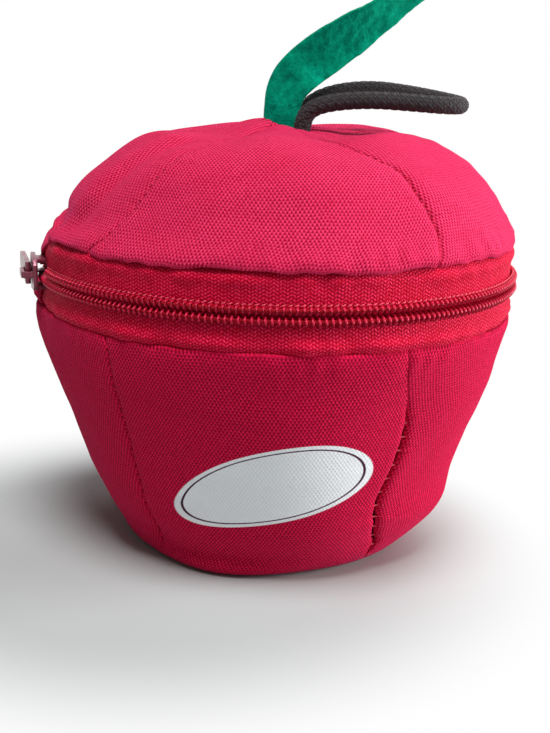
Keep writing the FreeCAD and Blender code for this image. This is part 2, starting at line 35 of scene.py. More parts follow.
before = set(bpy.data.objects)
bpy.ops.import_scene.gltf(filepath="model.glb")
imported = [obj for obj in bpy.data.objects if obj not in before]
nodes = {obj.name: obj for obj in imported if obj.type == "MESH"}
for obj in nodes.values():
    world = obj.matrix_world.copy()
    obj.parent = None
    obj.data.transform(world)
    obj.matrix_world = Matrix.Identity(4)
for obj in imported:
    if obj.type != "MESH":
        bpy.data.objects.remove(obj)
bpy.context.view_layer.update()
MM = 0.001

# Sizes shared with the solids
ZIP_UP = 67.0
HINGE_ANGLE = 147.0
HINGE_RADIUS = 57.0
PANELS = ["front", "right", "rear_right", "rear_left", "left"]
# UV units to a millimetre of cloth
UV_SHARE = 0.1
# Points between two given points of a smooth curve, and round the rim of a sheet
CURVE_STEPS = 40
RIM_STEPS = 3


# Helpers for numbers

def ways(line):
    """Way along a line to each of its points."""
    return np.r_[0, np.cumsum(np.linalg.norm(np.diff(line, axis=0), axis=1))]


def spaced(line, count):
    """Evenly spaced points on a line, and its length."""
    s = ways(line)
    at = np.linspace(0, s[-1], count)
    return np.column_stack([np.interp(at, s, column) for column in line.T]), s[-1]


def resample(points, count):
    """Evenly spaced points on a smooth curve through the given points, and its length."""
    p = np.array(points, float)
    ends = np.vstack([2 * p[0] - p[1], p, 2 * p[-1] - p[-2]])
    t = np.linspace(0, 1, CURVE_STEPS, endpoint=False)[:, None]
    runs = []
    for a, b, c, d in zip(ends, ends[1:], ends[2:], ends[3:]):
        runs.append(0.5 * (2 * b + (c - a) * t + (2 * a - 5 * b + 4 * c - d) * t ** 2
                           + (3 * b - a - 3 * c + d) * t ** 3))
    return spaced(np.vstack(runs + [p[-1:]]), count)


def wobble(points, scale, seed):
    """Smooth seeded noise, about -1 to 1, with features of the given size."""
    rng = np.random.RandomState(seed)
    total = np.zeros(points.shape[:-1])
    for _ in range(6):
        way = rng.normal(size=3)
        way *= 2 * math.pi / (np.linalg.norm(way) * scale * rng.uniform(0.7, 1.6))
        total += np.sin(points @ way + rng.uniform(0, 6.28))
    return total / 2.6


def step(x, low, high):
    """Smooth rise from 0 to 1."""
    f = np.clip((x - low) / (high - low), 0, 1)
    return f * f * (3 - 2 * f)


def within(x, start, full, fading, end):
    """Smooth rise from 0 to 1 and back."""
    return step(x, start, full) * (1 - step(x, fading, end))


def hill(x, width):
    """1 at 0, falling off to both sides."""
    return np.exp(-(x / width) ** 2)


def unit(v):
    return v / np.linalg.norm(v, axis=-1, keepdims=True)


def grid(*columns):
    """Points from arrays of their coordinates."""
    return np.stack(np.broadcast_arrays(*columns), -1)


def polar(r, theta, z):
    a = np.radians(theta)
    return grid(r * np.cos(a), r * np.sin(a), z)


def turn_from(theta, middle):
    """Degrees from a middle angle, either way round."""
    return (theta - middle + 180.0) % 360.0 - 180.0


# Helpers for meshes and pieces

def add(name, data):
    """A new object in the scene."""
    obj = bpy.data.objects.new(name, data)
    bpy.context.scene.collection.objects.link(obj)
    return obj


def paint(mesh, material):
    mesh.materials.clear()
    mesh.materials.append(material)


def wear(piece, body, slot, *solids):
    """Puts a piece on its body, in place of the solids that it dresses; the slot is not used."""
    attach(piece, body)
    if solids:
        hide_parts(*solids)


def mesh_points(mesh):
    """Points of a mesh, in millimetres."""
    return np.array([v.co[:] for v in mesh.vertices]) / MM


def read_curve(curve):
    """Points and faces of a curve's own mesh; the curve is removed."""
    obj = add(curve.name, curve)
    mesh = bpy.data.meshes.new_from_object(obj)
    points, faces = mesh_points(mesh), [tuple(p.vertices) for p in mesh.polygons]
    bpy.data.objects.remove(obj)
    bpy.data.meshes.remove(mesh)
    bpy.data.curves.remove(curve)
    return points, faces


def make(name, verts, faces, material, uv=None):
    """A smooth mesh object from points in millimetres; uv holds millimetres on the cloth."""
    mesh = bpy.data.meshes.new(name)
    points = [tuple(v) for v in np.asarray(verts) * MM]
    mesh.from_pydata(points, [], [tuple(int(i) for i in f) for f in faces])
    if uv is not None:
        layer = mesh.uv_layers.new(name="cloth")
        corner = np.empty(len(mesh.loops), np.int32)
        mesh.loops.foreach_get("vertex_index", corner)
        layer.data.foreach_set("uv", (np.asarray(uv, float)[corner] * UV_SHARE).ravel())
    mesh.validate()
    mesh.polygons.foreach_set("use_smooth", [True] * len(mesh.polygons))
    mesh.materials.append(material)
    return add(name, mesh)


def ring_faces(rings, sides, base=0):
    """Faces of an open tube whose points come ring after ring."""
    faces = []
    for i in range(rings - 1):
        here, ahead = base + i * sides, base + (i + 1) * sides
        for j in range(sides):
            k = (j + 1) % sides
            faces.append((here + j, here + k, ahead + k, ahead + j))
    return faces


def tube_faces(rings, sides, base=0):
    """Faces of a tube that is closed at both ends."""
    first = tuple(base + j for j in reversed(range(sides)))
    last = tuple(base + (rings - 1) * sides + j for j in range(sides))
    return ring_faces(rings, sides, base) + [first, last]


def shell(outer, inner):
    """Closed shell between two grids (columns, rows, 3), with a rounded rim at row 0."""
    count = outer.shape[0]
    middle = (outer[:, 0] + inner[:, 0]) / 2
    half = (outer[:, 0] - inner[:, 0]) / 2
    ahead = unit(outer[:, 0] - outer[:, 1]) * np.linalg.norm(half, axis=1)[:, None]
    turns = [math.pi * k / (RIM_STEPS + 1) for k in range(1, RIM_STEPS + 1)]
    arcs = [middle + half * math.cos(a) + ahead * math.sin(a) for a in turns]
    loop = np.concatenate([outer[:, ::-1], np.stack(arcs, 1), inner], axis=1)
    size = loop.shape[1]
    faces = ring_faces(count, size)
    for i, flip in ((0, True), (count - 1, False)):
        for j in range(size // 2):
            quad = [i * size + k for k in (j, j + 1, size - 2 - j, size - 1 - j)]
            quad = list(dict.fromkeys(quad))
            if len(quad) > 2:
                faces.append(tuple(quad[::-1] if flip else quad))
    return loop.reshape(-1, 3), faces


def shell_uv(flat):
    edge = np.repeat(flat[:, :1], RIM_STEPS, 1)
    return np.concatenate([flat[:, ::-1], edge, flat], axis=1).reshape(-1, 2)


def make_sheet(name, outer, inner, material, flat=None):
    """A sheet between two grids of points; flat holds their millimetres on the cloth."""
    verts, faces = shell(outer, inner)
    return make(name, verts, faces, material, None if flat is None else shell_uv(flat))


def tubes(name, paths, radius, material, sides=6):
    """One mesh of many thin rounded tubes, such as stitches."""
    verts, faces = [], []
    base = 0
    a = np.linspace(0, 2 * math.pi, sides, endpoint=False)
    for path in paths:
        p = np.asarray(path, float)
        count = len(p)
        way = unit(np.gradient(p, axis=0))
        upright = np.abs(way[:, 2:3]) >= 0.9
        side = unit(np.cross(way, np.where(upright, [[1.0, 0, 0]], [[0, 0, 1.0]])))
        other = np.cross(way, side)
        size = radius * np.sqrt(np.clip(1 - np.abs(np.linspace(-1, 1, count)) ** 4, 0.04, 1))
        round_ = side[:, None] * np.cos(a)[:, None] + other[:, None] * np.sin(a)[:, None]
        verts.append((p[:, None] + size[:, None, None] * round_).reshape(-1, 3))
        faces += tube_faces(count, sides, base)
        base += count * sides
    return make(name, np.vstack(verts), faces, material)


# Materials

class Nodes:
    """Short calls for the nodes of one tree."""

    def __init__(self, tree):
        self.tree = tree

    def put(self, socket, value):
        if isinstance(value, bpy.types.NodeSocket):
            self.tree.links.new(value, socket)
        elif value is not None:
            socket.default_value = value

    def node(self, kind, *values, **settings):
        node = self.tree.nodes.new(kind)
        for key, value in settings.items():
            setattr(node, key, value)
        for socket, value in zip(node.inputs, values):
            self.put(socket, value)
        return node

    def math(self, operation, a, b=None):
        return self.node("ShaderNodeMath", a, b, operation=operation).outputs[0]

    def plus(self, a, b):
        return self.math("ADD", a, b)

    def minus(self, a, b):
        return self.math("SUBTRACT", a, b)

    def times(self, a, b):
        return self.math("MULTIPLY", a, b)

    def cloth(self):
        """Millimetres along and across the cloth."""
        uv = self.node("ShaderNodeUVMap", uv_map="cloth")
        parts = self.node("ShaderNodeSeparateXYZ", uv.outputs[0])
        return [self.math("DIVIDE", parts.outputs[k], UV_SHARE) for k in (0, 1)]

    def own_place(self):
        return self.node("ShaderNodeTexCoord").outputs["Object"]

    def noise(self, scale, detail=3.0, rough=0.55):
        """Noise on the object's own coordinates; scale is features per millimetre."""
        node = self.node("ShaderNodeTexNoise")
        self.put(node.inputs["Vector"], self.own_place())
        node.inputs["Scale"].default_value = scale / MM
        node.inputs["Detail"].default_value = detail
        node.inputs["Roughness"].default_value = rough
        return node.outputs["Fac"]

    def shifted(self, value, noise, amount):
        """The value moved to and fro by a noise."""
        return self.plus(value, self.times(self.minus(noise, 0.5), amount))

    def ramp(self, value, low, high, bottom=0.0, top=1.0):
        return self.node("ShaderNodeMapRange", value, low, high, bottom, top).outputs[0]

    def waves(self, value, period):
        return self.math("SINE", self.times(value, 2 * math.pi / period))

    def mix(self, factor, a, b):
        node = self.node("ShaderNodeMix", data_type="RGBA")
        for socket, value in zip((node.inputs[0], node.inputs[6], node.inputs[7]), (factor, a, b)):
            self.put(socket, (*value, 1.0) if isinstance(value, tuple) and len(value) == 3 else value)
        return node.outputs[2]

    def background_rays(self):
        """1 for rays that see the background: those of the camera, of gloss and of clear material."""
        rays = self.node("ShaderNodeLightPath").outputs
        seen = self.math("MAXIMUM", rays["Is Camera Ray"], rays["Is Glossy Ray"])
        return self.math("MAXIMUM", seen, rays["Is Transmission Ray"])


class Look(Nodes):
    """A material with a Principled shader; sheen is its weight, roughness and tint."""

    def __init__(self, name, gloss, sheen=(), **sockets):
        self.mat = bpy.data.materials.new(name)
        self.mat.use_nodes = True
        super().__init__(self.mat.node_tree)
        self.shader = self.tree.nodes["Principled BSDF"]
        sockets.update(zip(("Sheen_Weight", "Sheen_Roughness", "Sheen_Tint"), sheen))
        sockets["Specular_IOR_Level"] = gloss
        for socket, value in sockets.items():
            self.shader.inputs[socket.replace("_", " ")].default_value = value

    def bump(self, height, distance, strength=1.0):
        node = self.node("ShaderNodeBump")
        self.put(node.inputs["Height"], height)
        node.inputs["Distance"].default_value = distance * MM
        node.inputs["Strength"].default_value = strength
        return node.outputs[0]

    def finish(self, colour, rough, normal):
        self.put(self.shader.inputs["Base Color"], colour)
        self.put(self.shader.inputs["Roughness"], rough)
        self.put(self.shader.inputs["Normal"], normal)
        return self.mat


# The blank oval printed on the front panel: its middle and half sizes on the cloth, its tilt, its bend
BADGE_AT = (5.0, -32.8)
BADGE_HALF = (24.6, 10.1)
BADGE_TILT = 17.4
BADGE_BEND = 0.0049
BADGE_WHITES = ((0.86, 0.91, 0.95), (0.96, 0.99, 1.0))
BADGE_LINE = (0.055, 0.012, 0.035)


def badge_reach(k, u, v):
    """1 on the oval's edge, 0 at its middle."""
    du = k.minus(u, BADGE_AT[0])
    dv = k.minus(v, BADGE_AT[1])
    dv = k.plus(dv, k.times(k.times(du, du), BADGE_BEND))
    tilt = math.radians(BADGE_TILT)
    along = k.plus(k.times(du, math.cos(tilt)), k.times(dv, math.sin(tilt)))
    across = k.minus(k.times(dv, math.cos(tilt)), k.times(du, math.sin(tilt)))
    along = k.math("DIVIDE", along, BADGE_HALF[0])
    across = k.math("DIVIDE", across, BADGE_HALF[1])
    return k.math("SQRT", k.plus(k.times(along, along), k.times(across, across)))


def printed_oval(k, reach, weave, red):
    """Colour and height of the weave with a white oval that has a thin dark line inside its edge."""
    inside = k.ramp(reach, 1.0, 0.985)
    line = k.times(k.ramp(reach, 0.878, 0.888), k.ramp(reach, 0.918, 0.908))
    ink = k.mix(k.ramp(weave, 0.0, 0.7), *BADGE_WHITES)
    ink = k.mix(line, ink, BADGE_LINE)
    return k.mix(inside, red, ink), k.times(weave, k.ramp(inside, 0.0, 1.0, 1.0, 0.55))


# Canvas: pitch of the threads that show along a row and of the rows, and its reds in the gaps and on top
FLOAT_PITCH = 0.88
ROW_PITCH = 0.73
CUP_REDS = ((0.26, 0.0003, 0.012), (0.86, 0.013, 0.086))
# The lid's reds are lighter and pinker than the cup's: painted sheen of the light from above, in a copy of
# the same canvas
LID_SHEEN_REDS = ((0.31, 0.0006, 0.017), (0.90, 0.046, 0.155))
CLOUD_RED = (0.50, 0.003, 0.040)


def canvas_look(name, gap, thread_top, printed=False):
    """Plain-weave cotton canvas, with the oval on it where it is printed."""
    k = Look(name, gloss=0.04, sheen=(0.14, 0.5, (1.0, 0.18, 0.50, 1.0)))
    u, v = k.cloth()
    slow, thread, slub, fine = [k.noise(scale, 2.0) for scale in (0.09, 0.9, 1.5, 4.5)]
    down = k.shifted(v, slow, 1.2)
    over = k.times(k.waves(k.shifted(u, thread, 0.25), FLOAT_PITCH), k.waves(down, 2 * ROW_PITCH))
    over = k.times(over, k.ramp(slub, 0.3, 0.7, 0.45, 1.30))
    weave = k.plus(k.times(over, 0.42), k.times(k.waves(down, ROW_PITCH), 0.10))
    weave = k.shifted(k.shifted(k.plus(weave, 0.5), fine, 0.55), slub, 0.40)
    colour = k.mix(k.ramp(weave, 0.26, 0.74), gap, thread_top)
    colour = k.mix(k.ramp(slow, 0.3, 0.7), colour, k.mix(0.25, colour, CLOUD_RED))
    height = weave
    if printed:
        reach = k.shifted(badge_reach(k, u, v), fine, 0.012)
        colour, height = printed_oval(k, reach, weave, colour)
    return k.finish(colour, k.ramp(weave, 0.0, 1.0, 0.95, 0.80), k.bump(height, 0.16))


def tape_look():
    """Woven zip tape: short dashes in columns that lean to alternate sides."""
    k = Look("zip_tape", gloss=0.06, sheen=(0.05, 0.4, (1.0, 0.3, 0.45, 1.0)))
    u, v = k.cloth()
    zig = k.math("PINGPONG", k.shifted(u, k.noise(0.7, 2.0), 0.9), 0.95)
    rows = k.waves(k.plus(v, k.times(zig, 0.75)), 0.80)
    dash = k.times(k.ramp(rows, -1.0, 1.0), k.ramp(k.waves(u, 0.716), -1.0, 0.6, 0.25, 1.0))
    dash = k.times(dash, k.ramp(k.noise(0.55, 2.0), 0.3, 0.7, 0.55, 1.25))
    dash = k.shifted(dash, k.noise(2.4), 0.8)
    colour = k.mix(k.ramp(dash, 0.15, 0.85), (0.47, 0.0003, 0.016), (1.0, 0.027, 0.125))
    return k.finish(colour, k.ramp(dash, 0.0, 1.0, 0.75, 0.5), k.bump(dash, 0.16))


def nylon_look(name, dark, light):
    """Smooth nylon with a faint grain."""
    k = Look(name, gloss=0.22)
    grain = k.noise(1.6, 3.0)
    rough = k.ramp(grain, 0.3, 0.7, 0.26, 0.40)
    return k.finish(k.mix(grain, dark, light), rough, k.bump(grain, 0.03, 0.5))


def thread_look(name, dark, light):
    """Sewing thread, whose plies show as slanting stripes."""
    k = Look(name, gloss=0.15)
    wave = k.node("ShaderNodeTexWave")
    k.put(wave.inputs["Vector"], k.own_place())
    wave.inputs["Scale"].default_value = 1.4 / MM
    wave.inputs["Distortion"].default_value = 2.0
    ply = wave.outputs["Fac"]
    return k.finish(k.mix(ply, dark, light), k.ramp(ply, 0, 1, 0.8, 0.6), k.bump(ply, 0.05, 0.6))


def metal_look():
    """Maroon lacquer over a die-cast slider, thinner and lighter where it is handled."""
    k = Look("maroon_lacquer", gloss=0.35, Metallic=0.30, Coat_Weight=0.25, Coat_Roughness=0.25)
    cloud = k.noise(0.35, 4.0)
    colour = k.mix(cloud, (0.105, 0.011, 0.026), (0.23, 0.028, 0.058))
    colour = k.mix(k.ramp(k.noise(3.0, 2.0), 0.66, 0.74), colour, (0.42, 0.17, 0.17))
    return k.finish(colour, k.ramp(cloud, 0.3, 0.7, 0.24, 0.40), k.bump(k.noise(1.1, 3.0), 0.04, 0.5))


def felt_look():
    """Green felt with matted hairs and darker clouds."""
    k = Look("green_felt", gloss=0.02, sheen=(0.06, 0.5, (0.10, 1.0, 0.70, 1.0)))
    hair = k.noise(3.4, 5.0, 0.7)
    mixed = k.plus(k.times(k.noise(1.1, 6.0, 0.75), 0.6), k.times(hair, 0.4))
    colour = k.mix(k.ramp(mixed, 0.36, 0.66), (0.0004, 0.17, 0.100), (0.0015, 0.54, 0.33))
    cloud = k.ramp(k.noise(0.16, 3.0), 0.35, 0.7)
    colour = k.mix(cloud, colour, k.mix(0.4, colour, (0.002, 0.28, 0.15)))
    return k.finish(colour, k.ramp(hair, 0, 1, 0.98, 0.8), k.bump(mixed, 0.6, 0.9))


def braid_look():
    """Dark cord, whose strands show their fine plies."""
    k = Look("dark_cord", gloss=0.35, sheen=(0.05, 0.35, (0.8, 0.7, 0.75, 1.0)))
    u, v = k.cloth()
    ply = k.waves(k.plus(u, k.times(v, 1.2)), 0.45)
    colour = k.mix(k.ramp(ply, -1, 1), (0.008, 0.006, 0.007), (0.030, 0.023, 0.027))
    colour = k.mix(k.ramp(k.noise(2.2, 3.0), 0.5, 0.8), colour, (0.050, 0.036, 0.042))
    return k.finish(colour, k.ramp(ply, -1, 1, 0.75, 0.5), k.bump(ply, 0.06, 0.7))


def tile_look():
    """Ivory plastic with faint clouds and specks."""
    k = Look("ivory_tile", gloss=0.45, Coat_Weight=0.1, Coat_Roughness=0.3)
    fine = k.noise(2.5, 3.0)
    colour = k.mix(k.ramp(k.noise(0.12, 4.0), 0.35, 0.65), (0.74, 0.66, 0.47), (0.83, 0.77, 0.60))
    colour = k.mix(k.ramp(fine, 0.6, 0.8), colour, (0.66, 0.57, 0.38))
    return k.finish(colour, k.ramp(fine, 0.3, 0.7, 0.32, 0.46), k.bump(fine, 0.02, 0.6))


def ink_look():
    """Black ink, worn thin in places."""
    k = Look("tile_ink", gloss=0.4)
    worn = k.noise(2.0, 4.0)
    colour = k.mix(k.ramp(worn, 0.45, 0.75), (0.020, 0.016, 0.015), (0.070, 0.055, 0.050))
    return k.finish(colour, k.ramp(worn, 0.3, 0.7, 0.4, 0.6), k.bump(worn, 0.01, 0.5))


def paper_look():
    """Plain paper, slightly yellowed."""
    k = Look("paper", gloss=0.2)
    pulp = k.noise(1.2, 5.0, 0.7)
    colour = k.mix(k.ramp(pulp, 0.3, 0.7), (0.80, 0.78, 0.71), (0.88, 0.87, 0.82))
    colour = k.mix(k.ramp(k.noise(0.08, 3.0), 0.5, 0.75), colour, (0.78, 0.74, 0.64))
    return k.finish(colour, k.ramp(pulp, 0.3, 0.7, 0.82, 0.95), k.bump(pulp, 0.04, 0.6))


CANVAS = canvas_look("canvas", *CUP_REDS)
PRINTED = canvas_look("canvas_printed", *CUP_REDS, printed=True)
# The lid's copy of the canvas, with the painted sheen of the light from above
LID_SHEEN_CANVAS = canvas_look("canvas_lid_painted_sheen", *LID_SHEEN_REDS)
TAPE = tape_look()
COIL = nylon_look("nylon_coil", (0.38, 0.001, 0.018), (0.67, 0.012, 0.066))
# The filler cord's darker red is painted shade inside the coil
SHADED_CORE = thread_look("coil_cord_painted_shade", (0.24, 0.0, 0.006), (0.40, 0.0005, 0.014))
THREAD = thread_look("red_thread", (0.62, 0.012, 0.05), (0.98, 0.17, 0.24))
SEWING = thread_look("seam_thread", (0.16, 0.0, 0.010), (0.40, 0.002, 0.030))
# A darker red thread in the lid canvas's reds, for the whip stitches on the lid
LID_THREAD = thread_look("lid_whip_thread", (0.42, 0.004, 0.04), (0.85, 0.05, 0.15))
METAL = metal_look()
FELT = felt_look()
BRAID = braid_look()
TILE = tile_look()
INK = ink_look()
PAPER = paper_look()


# Stage: camera, floor and light

CAMERA_AT = (0.0, -315.0, 123.2)
CAMERA_DOWN = 14.55
CAMERA_ROLL = 1.5
SENSOR = 36.0
# Focal length and picture height, in pixels
FOCAL = 1280.0
PICTURE_HEIGHT = 733.0
# The floor's half size and height in metres, the grey of its painted shadow near the pouch, slightly cool
# against the red light that the pouch bounces onto it, and the middle and reach in metres of that painted
# shadow, which turns white, to the camera, between the two distances
FLOOR_HALF = 3.0
FLOOR_UP = -0.0002
FLOOR_PAINTED_SHADE = (0.445, 0.465, 0.465, 1.0)
PAINTED_SHADOW_MIDDLE = (-0.028, -0.018, 0.0)
PAINTED_SHADOW_REACH = (0.052, 0.102)
# Light from all sides, and the lamps as (name, place, size, power), in metres and watts
AMBIENT = 0.15
LAMP_AIM = Vector((0, 0, 0.06))
LAMPS = [
    ("key", (0.87, 0.02, 0.16), 0.50, 11.0),
    ("top", (-0.02, -0.38, 1.06), 0.46, 12.2),
    ("back", (0.30, 0.72, 0.85), 0.60, 2.5),
]


def make_camera():
    data = bpy.data.cameras.new("camera")
    data.lens = SENSOR * FOCAL / PICTURE_HEIGHT
    data.clip_start = 0.01
    camera = add("camera", data)
    place = Matrix.Translation(Vector(CAMERA_AT) * MM)
    tilt = Matrix.Rotation(math.radians(90.0 - CAMERA_DOWN), 4, "X")
    roll = Matrix.Rotation(math.radians(CAMERA_ROLL), 4, "Z")
    camera.matrix_world = place @ tilt @ roll
    bpy.context.scene.camera = camera


def floor_look():
    """Paper painted grey near the pouch as a broad shadow, which also takes the lamps' real shadows, and
    plain white, to the camera, farther off.
    """
    mat = bpy.data.materials.new("floor_paper")
    mat.use_nodes = True
    mat.node_tree.nodes.clear()
    k = Nodes(mat.node_tree)
    spot = k.node("ShaderNodeNewGeometry").outputs["Position"]
    away = k.node("ShaderNodeVectorMath", spot, PAINTED_SHADOW_MIDDLE, operation="DISTANCE").outputs["Value"]
    # The painted shadow: grey near its middle, white to the camera beyond its reach
    fade = k.node("ShaderNodeMapRange", away, *PAINTED_SHADOW_REACH, interpolation_type="SMOOTHSTEP").outputs[0]
    far = k.times(fade, k.background_rays())
    near = k.node("ShaderNodeBsdfDiffuse", FLOOR_PAINTED_SHADE).outputs[0]
    white = k.node("ShaderNodeEmission").outputs[0]
    mixed = k.node("ShaderNodeMixShader", far, near, white).outputs[0]
    k.node("ShaderNodeOutputMaterial", mixed)
    return mat


def make_floor():
    mesh = bpy.data.meshes.new("floor")
    corners = [(x * FLOOR_HALF, y * FLOOR_HALF, FLOOR_UP) for x, y in ((-1, -1), (1, -1), (1, 1), (-1, 1))]
    mesh.from_pydata(corners, [], [(0, 1, 2, 3)])
    mesh.materials.append(floor_look())
    floor = add("floor", mesh)


def make_world():
    """White to the camera, and a weak even light to the pouch."""
    world = bpy.data.worlds.new("studio")
    bpy.context.scene.world = world
    world.use_nodes = True
    k = Nodes(world.node_tree)
    back = world.node_tree.nodes["Background"]
    k.put(back.inputs["Color"], (1, 1, 1, 1))
    k.put(back.inputs["Strength"], k.ramp(k.background_rays(), 0.0, 1.0, AMBIENT, 1.0))


def make_lamp(name, at, size, power):
    data = bpy.data.lights.new(name, "AREA")
    data.shape = "DISK"
    data.size = size
    data.energy = power
    lamp = add(name, data)
    lamp.location = at
    lamp.rotation_euler = (LAMP_AIM - Vector(at)).to_track_quat("-Z", "Y").to_euler()


make_camera()
make_floor()
make_world()
for lamp in LAMPS:
    make_lamp(*lamp)
bpy.context.scene.view_settings.view_transform = "Standard"


# Stem: a loop of braided cord

STEM_ROUTE = [
    (5.0, -3.1, 100.2), (5.0, -3.1, 103.6), (7.4, -3.5, 106.6), (13.4, -4.1, 108.1),
    (22.0, -4.6, 108.7), (30.6, -5.0, 108.3), (38.6, -4.9, 107.8), (43.0, -2.2, 107.7),
    (43.0, 2.2, 107.9), (38.6, 4.9, 108.7), (30.6, 5.2, 110.0), (22.0, 4.9, 110.9),
    (13.4, 4.2, 110.0), (7.4, 3.5, 107.7), (5.0, 3.1, 104.0), (5.0, 3.1, 100.2),
]
STEM_POINTS = 420
CORD = 4.2
CORE_DEPTH = 0.42
# Strands that wind each way, and the way along the cord for one turn
STRANDS = 12
LAY_LENGTH = 13.0
# A strand's depth under the cord's skin, its rise and fall, and its half width and half thickness
STRAND_DEPTH = 0.34
STRAND_RISE = 0.14
STRAND_HALF = (0.46, 0.24)
STRAND_ROUND = np.linspace(0, 2 * math.pi, 6, endpoint=False)


def spline_curve(name, points):
    curve = bpy.data.curves.new(name, "CURVE")
    curve.dimensions = "3D"
    spline = curve.splines.new("NURBS")
    spline.points.add(len(points) - 1)
    for point, at in zip(spline.points, points):
        point.co = (*(Vector(at) * MM), 1.0)
    spline.order_u = 3
    spline.use_endpoint_u = True
    spline.resolution_u = 12
    return curve


def carried_frame(line):
    """Two directions square to a line, carried along it without twist."""
    way = unit(np.gradient(line, axis=0))
    side = np.zeros_like(line)
    side[0] = (1, 0, 0)
    for i in range(1, len(line)):
        side[i] = unit(side[i - 1] - way[i] * (side[i - 1] @ way[i]))
    return side, np.cross(way, side)


def strand_points(line, at, side, other, turn, number):
    """Points of a flat strand that winds round the cord, over and under those that cross it."""
    angle = turn * 2 * math.pi * at / LAY_LENGTH + 2 * math.pi * number / STRANDS
    start = math.pi * number + (math.pi if turn < 0 else 0)
    over = np.cos(STRANDS * 2 * math.pi * at / LAY_LENGTH + start)
    out = np.cos(angle)[:, None] * side + np.sin(angle)[:, None] * other
    middle = line + (CORD / 2 - STRAND_DEPTH + STRAND_RISE * over)[:, None] * out
    flat = np.cross(unit(np.gradient(middle, axis=0)), out)
    wide, thick = STRAND_HALF
    across = wide * np.cos(STRAND_ROUND)[:, None] * flat[:, None]
    return middle[:, None] + across + thick * np.sin(STRAND_ROUND)[:, None] * out[:, None]


def make_braid(line, length):
    """Strands that wind both ways round the line."""
    at = np.linspace(0, length, len(line))
    side, other = carried_frame(line)
    sides = len(STRAND_ROUND)
    verts, faces = [], []
    for turn in (1, -1):
        for number in range(STRANDS):
            faces += ring_faces(len(line), sides, len(verts) * len(line) * sides)
            verts.append(strand_points(line, at, side, other, turn, number).reshape(-1, 3))
    uv = grid(1.3 * at[:, None], 0.6 * STRAND_ROUND[None, :]).reshape(-1, 2)
    return make("stem_braid", np.vstack(verts), faces, BRAID, np.tile(uv, (len(verts), 1)))


def make_stem():
    curve = spline_curve("stem_core", STEM_ROUTE)
    curve.bevel_depth = (CORD / 2 - CORE_DEPTH) * MM
    curve.bevel_resolution = 4
    curve.use_fill_caps = True
    curve.materials.append(BRAID)
    core = add("stem_core", curve)
    route, _ = read_curve(spline_curve("route", STEM_ROUTE))
    line, length = spaced(route, STEM_POINTS)
    braid = make_braid(line, length)
    wear(core, "lid", "cord", "stem_loop")
    wear(braid, "lid", "cord")


make_stem()


# Canvas panels

# Outlines of the lid and the cup from the rim, as (radius, height)
LID_LINE = [
    (57.7, 76.7), (57.1, 78.2), (54.9, 80.7), (52.5, 84.0), (49.3, 88.2), (45.6, 92.2), (40.7, 96.2),
    (34.6, 99.0), (26.6, 100.2), (18.0, 100.5), (12.0, 100.4), (8.6, 100.3), (7.0, 100.2), (6.0, 100.1),
]
CUP_LINE = [
    (57.4, 58.2), (57.2, 55.6), (55.8, 50.0), (53.8, 43.0), (51.4, 35.0), (48.7, 27.0), (46.4, 20.0),
    (44.2, 14.0), (42.0, 9.8), (38.6, 4.6), (36.2, 1.6), (34.0, 0.2), (30.0, 0.06), (18.0, 0.05),
    (0.6, 0.05),
]
# Where each seam runs, as (way from the rim, angle)
LID_SEAMS = [
    [(0.0, -136.0), (0.06, -134.0), (0.15, -131.6), (0.25, -129.5), (0.41, -126.9), (0.62, -123.8),
     (1.0, -121.0)],
    [(0.0, -53.0), (0.10, -51.9), (0.16, -51.8), (0.23, -52.4), (0.39, -54.4), (0.45, -56.6),
     (0.54, -61.6), (0.66, -66.7), (1.0, -72.0)],
    [(0.0, 19.5), (1.0, 16.0)],
    [(0.0, 90.0), (1.0, 90.0)],
    [(0.0, 160.5), (1.0, 164.0)],
]
CUP_SEAMS = [
    [(0.0, -130.8), (0.06, -129.9), (0.39, -129.7), (0.51, -130.9), (1.0, -131.0)],
    [(0.0, -60.3), (0.07, -58.6), (0.16, -54.8), (0.25, -53.6), (0.35, -55.4), (0.41, -56.7),
     (0.47, -56.2), (0.54, -53.1), (0.61, -49.5), (1.0, -47.5)],
    [(0.0, 12.5), (1.0, 12.5)],
    [(0.0, 85.0), (1.0, 85.0)],
    [(0.0, 157.5), (1.0, 157.5)],
]
# The seam to the right of the front panel
RIGHT_SEAM = 1
# Angle in the middle of each panel's flat cloth
FLAT_ANGLES = {"lid": [-90.0, -16.0, 54.8, 125.2, 195.8], "cup": [-95.0, -23.8, 48.8, 121.2, 193.8]}
# How far each soft half leans to the right, as (height, way)
LEANS = {
    "lid": [(77.0, 0.0), (82.0, 1.5)],
    "cup": [(0.0, -1.3), (2.0, -1.1), (5.0, -0.4), (9.0, 0.1), (14.0, 0.2), (20.0, -0.6), (48.0, -0.7),
            (57.0, 0.0)],
}
# Rise of the lid's top to the right, and the heights between which it sets in
LID_TILT = 0.015
TILT_HEIGHTS = (84.0, 96.0)
BASE_UP = 0.03
CLOTH = 1.2
PANEL_COLUMNS = 96
PANEL_ROWS = 104
# Depth and width of the turned-in edge along a seam
EDGE_DEPTH = 0.55
EDGE_WIDTH = 0.7
# The fold down the lid's left panel, as (way from the rim, angle)
VALLEY = [(0.02, 208.0), (0.20, 214.6), (0.39, 216.5), (0.62, 221.0)]
COLLAR = 3.4
# Ways from the chain between which the upper tape follows the dent
DENT_REACH = (3.6, 10.6)


def collar(theta):
    """Share of the collar's height at an angle: high behind and left of the leaf, low by the stem."""
    return (0.5 + 0.5 * np.cos(np.radians(theta - 205.0))) ** 1.4


def dent(theta):
    """How far the lid is drawn in above the zip's end."""
    return 4.4 * hill(turn_from(theta, 187), 14)


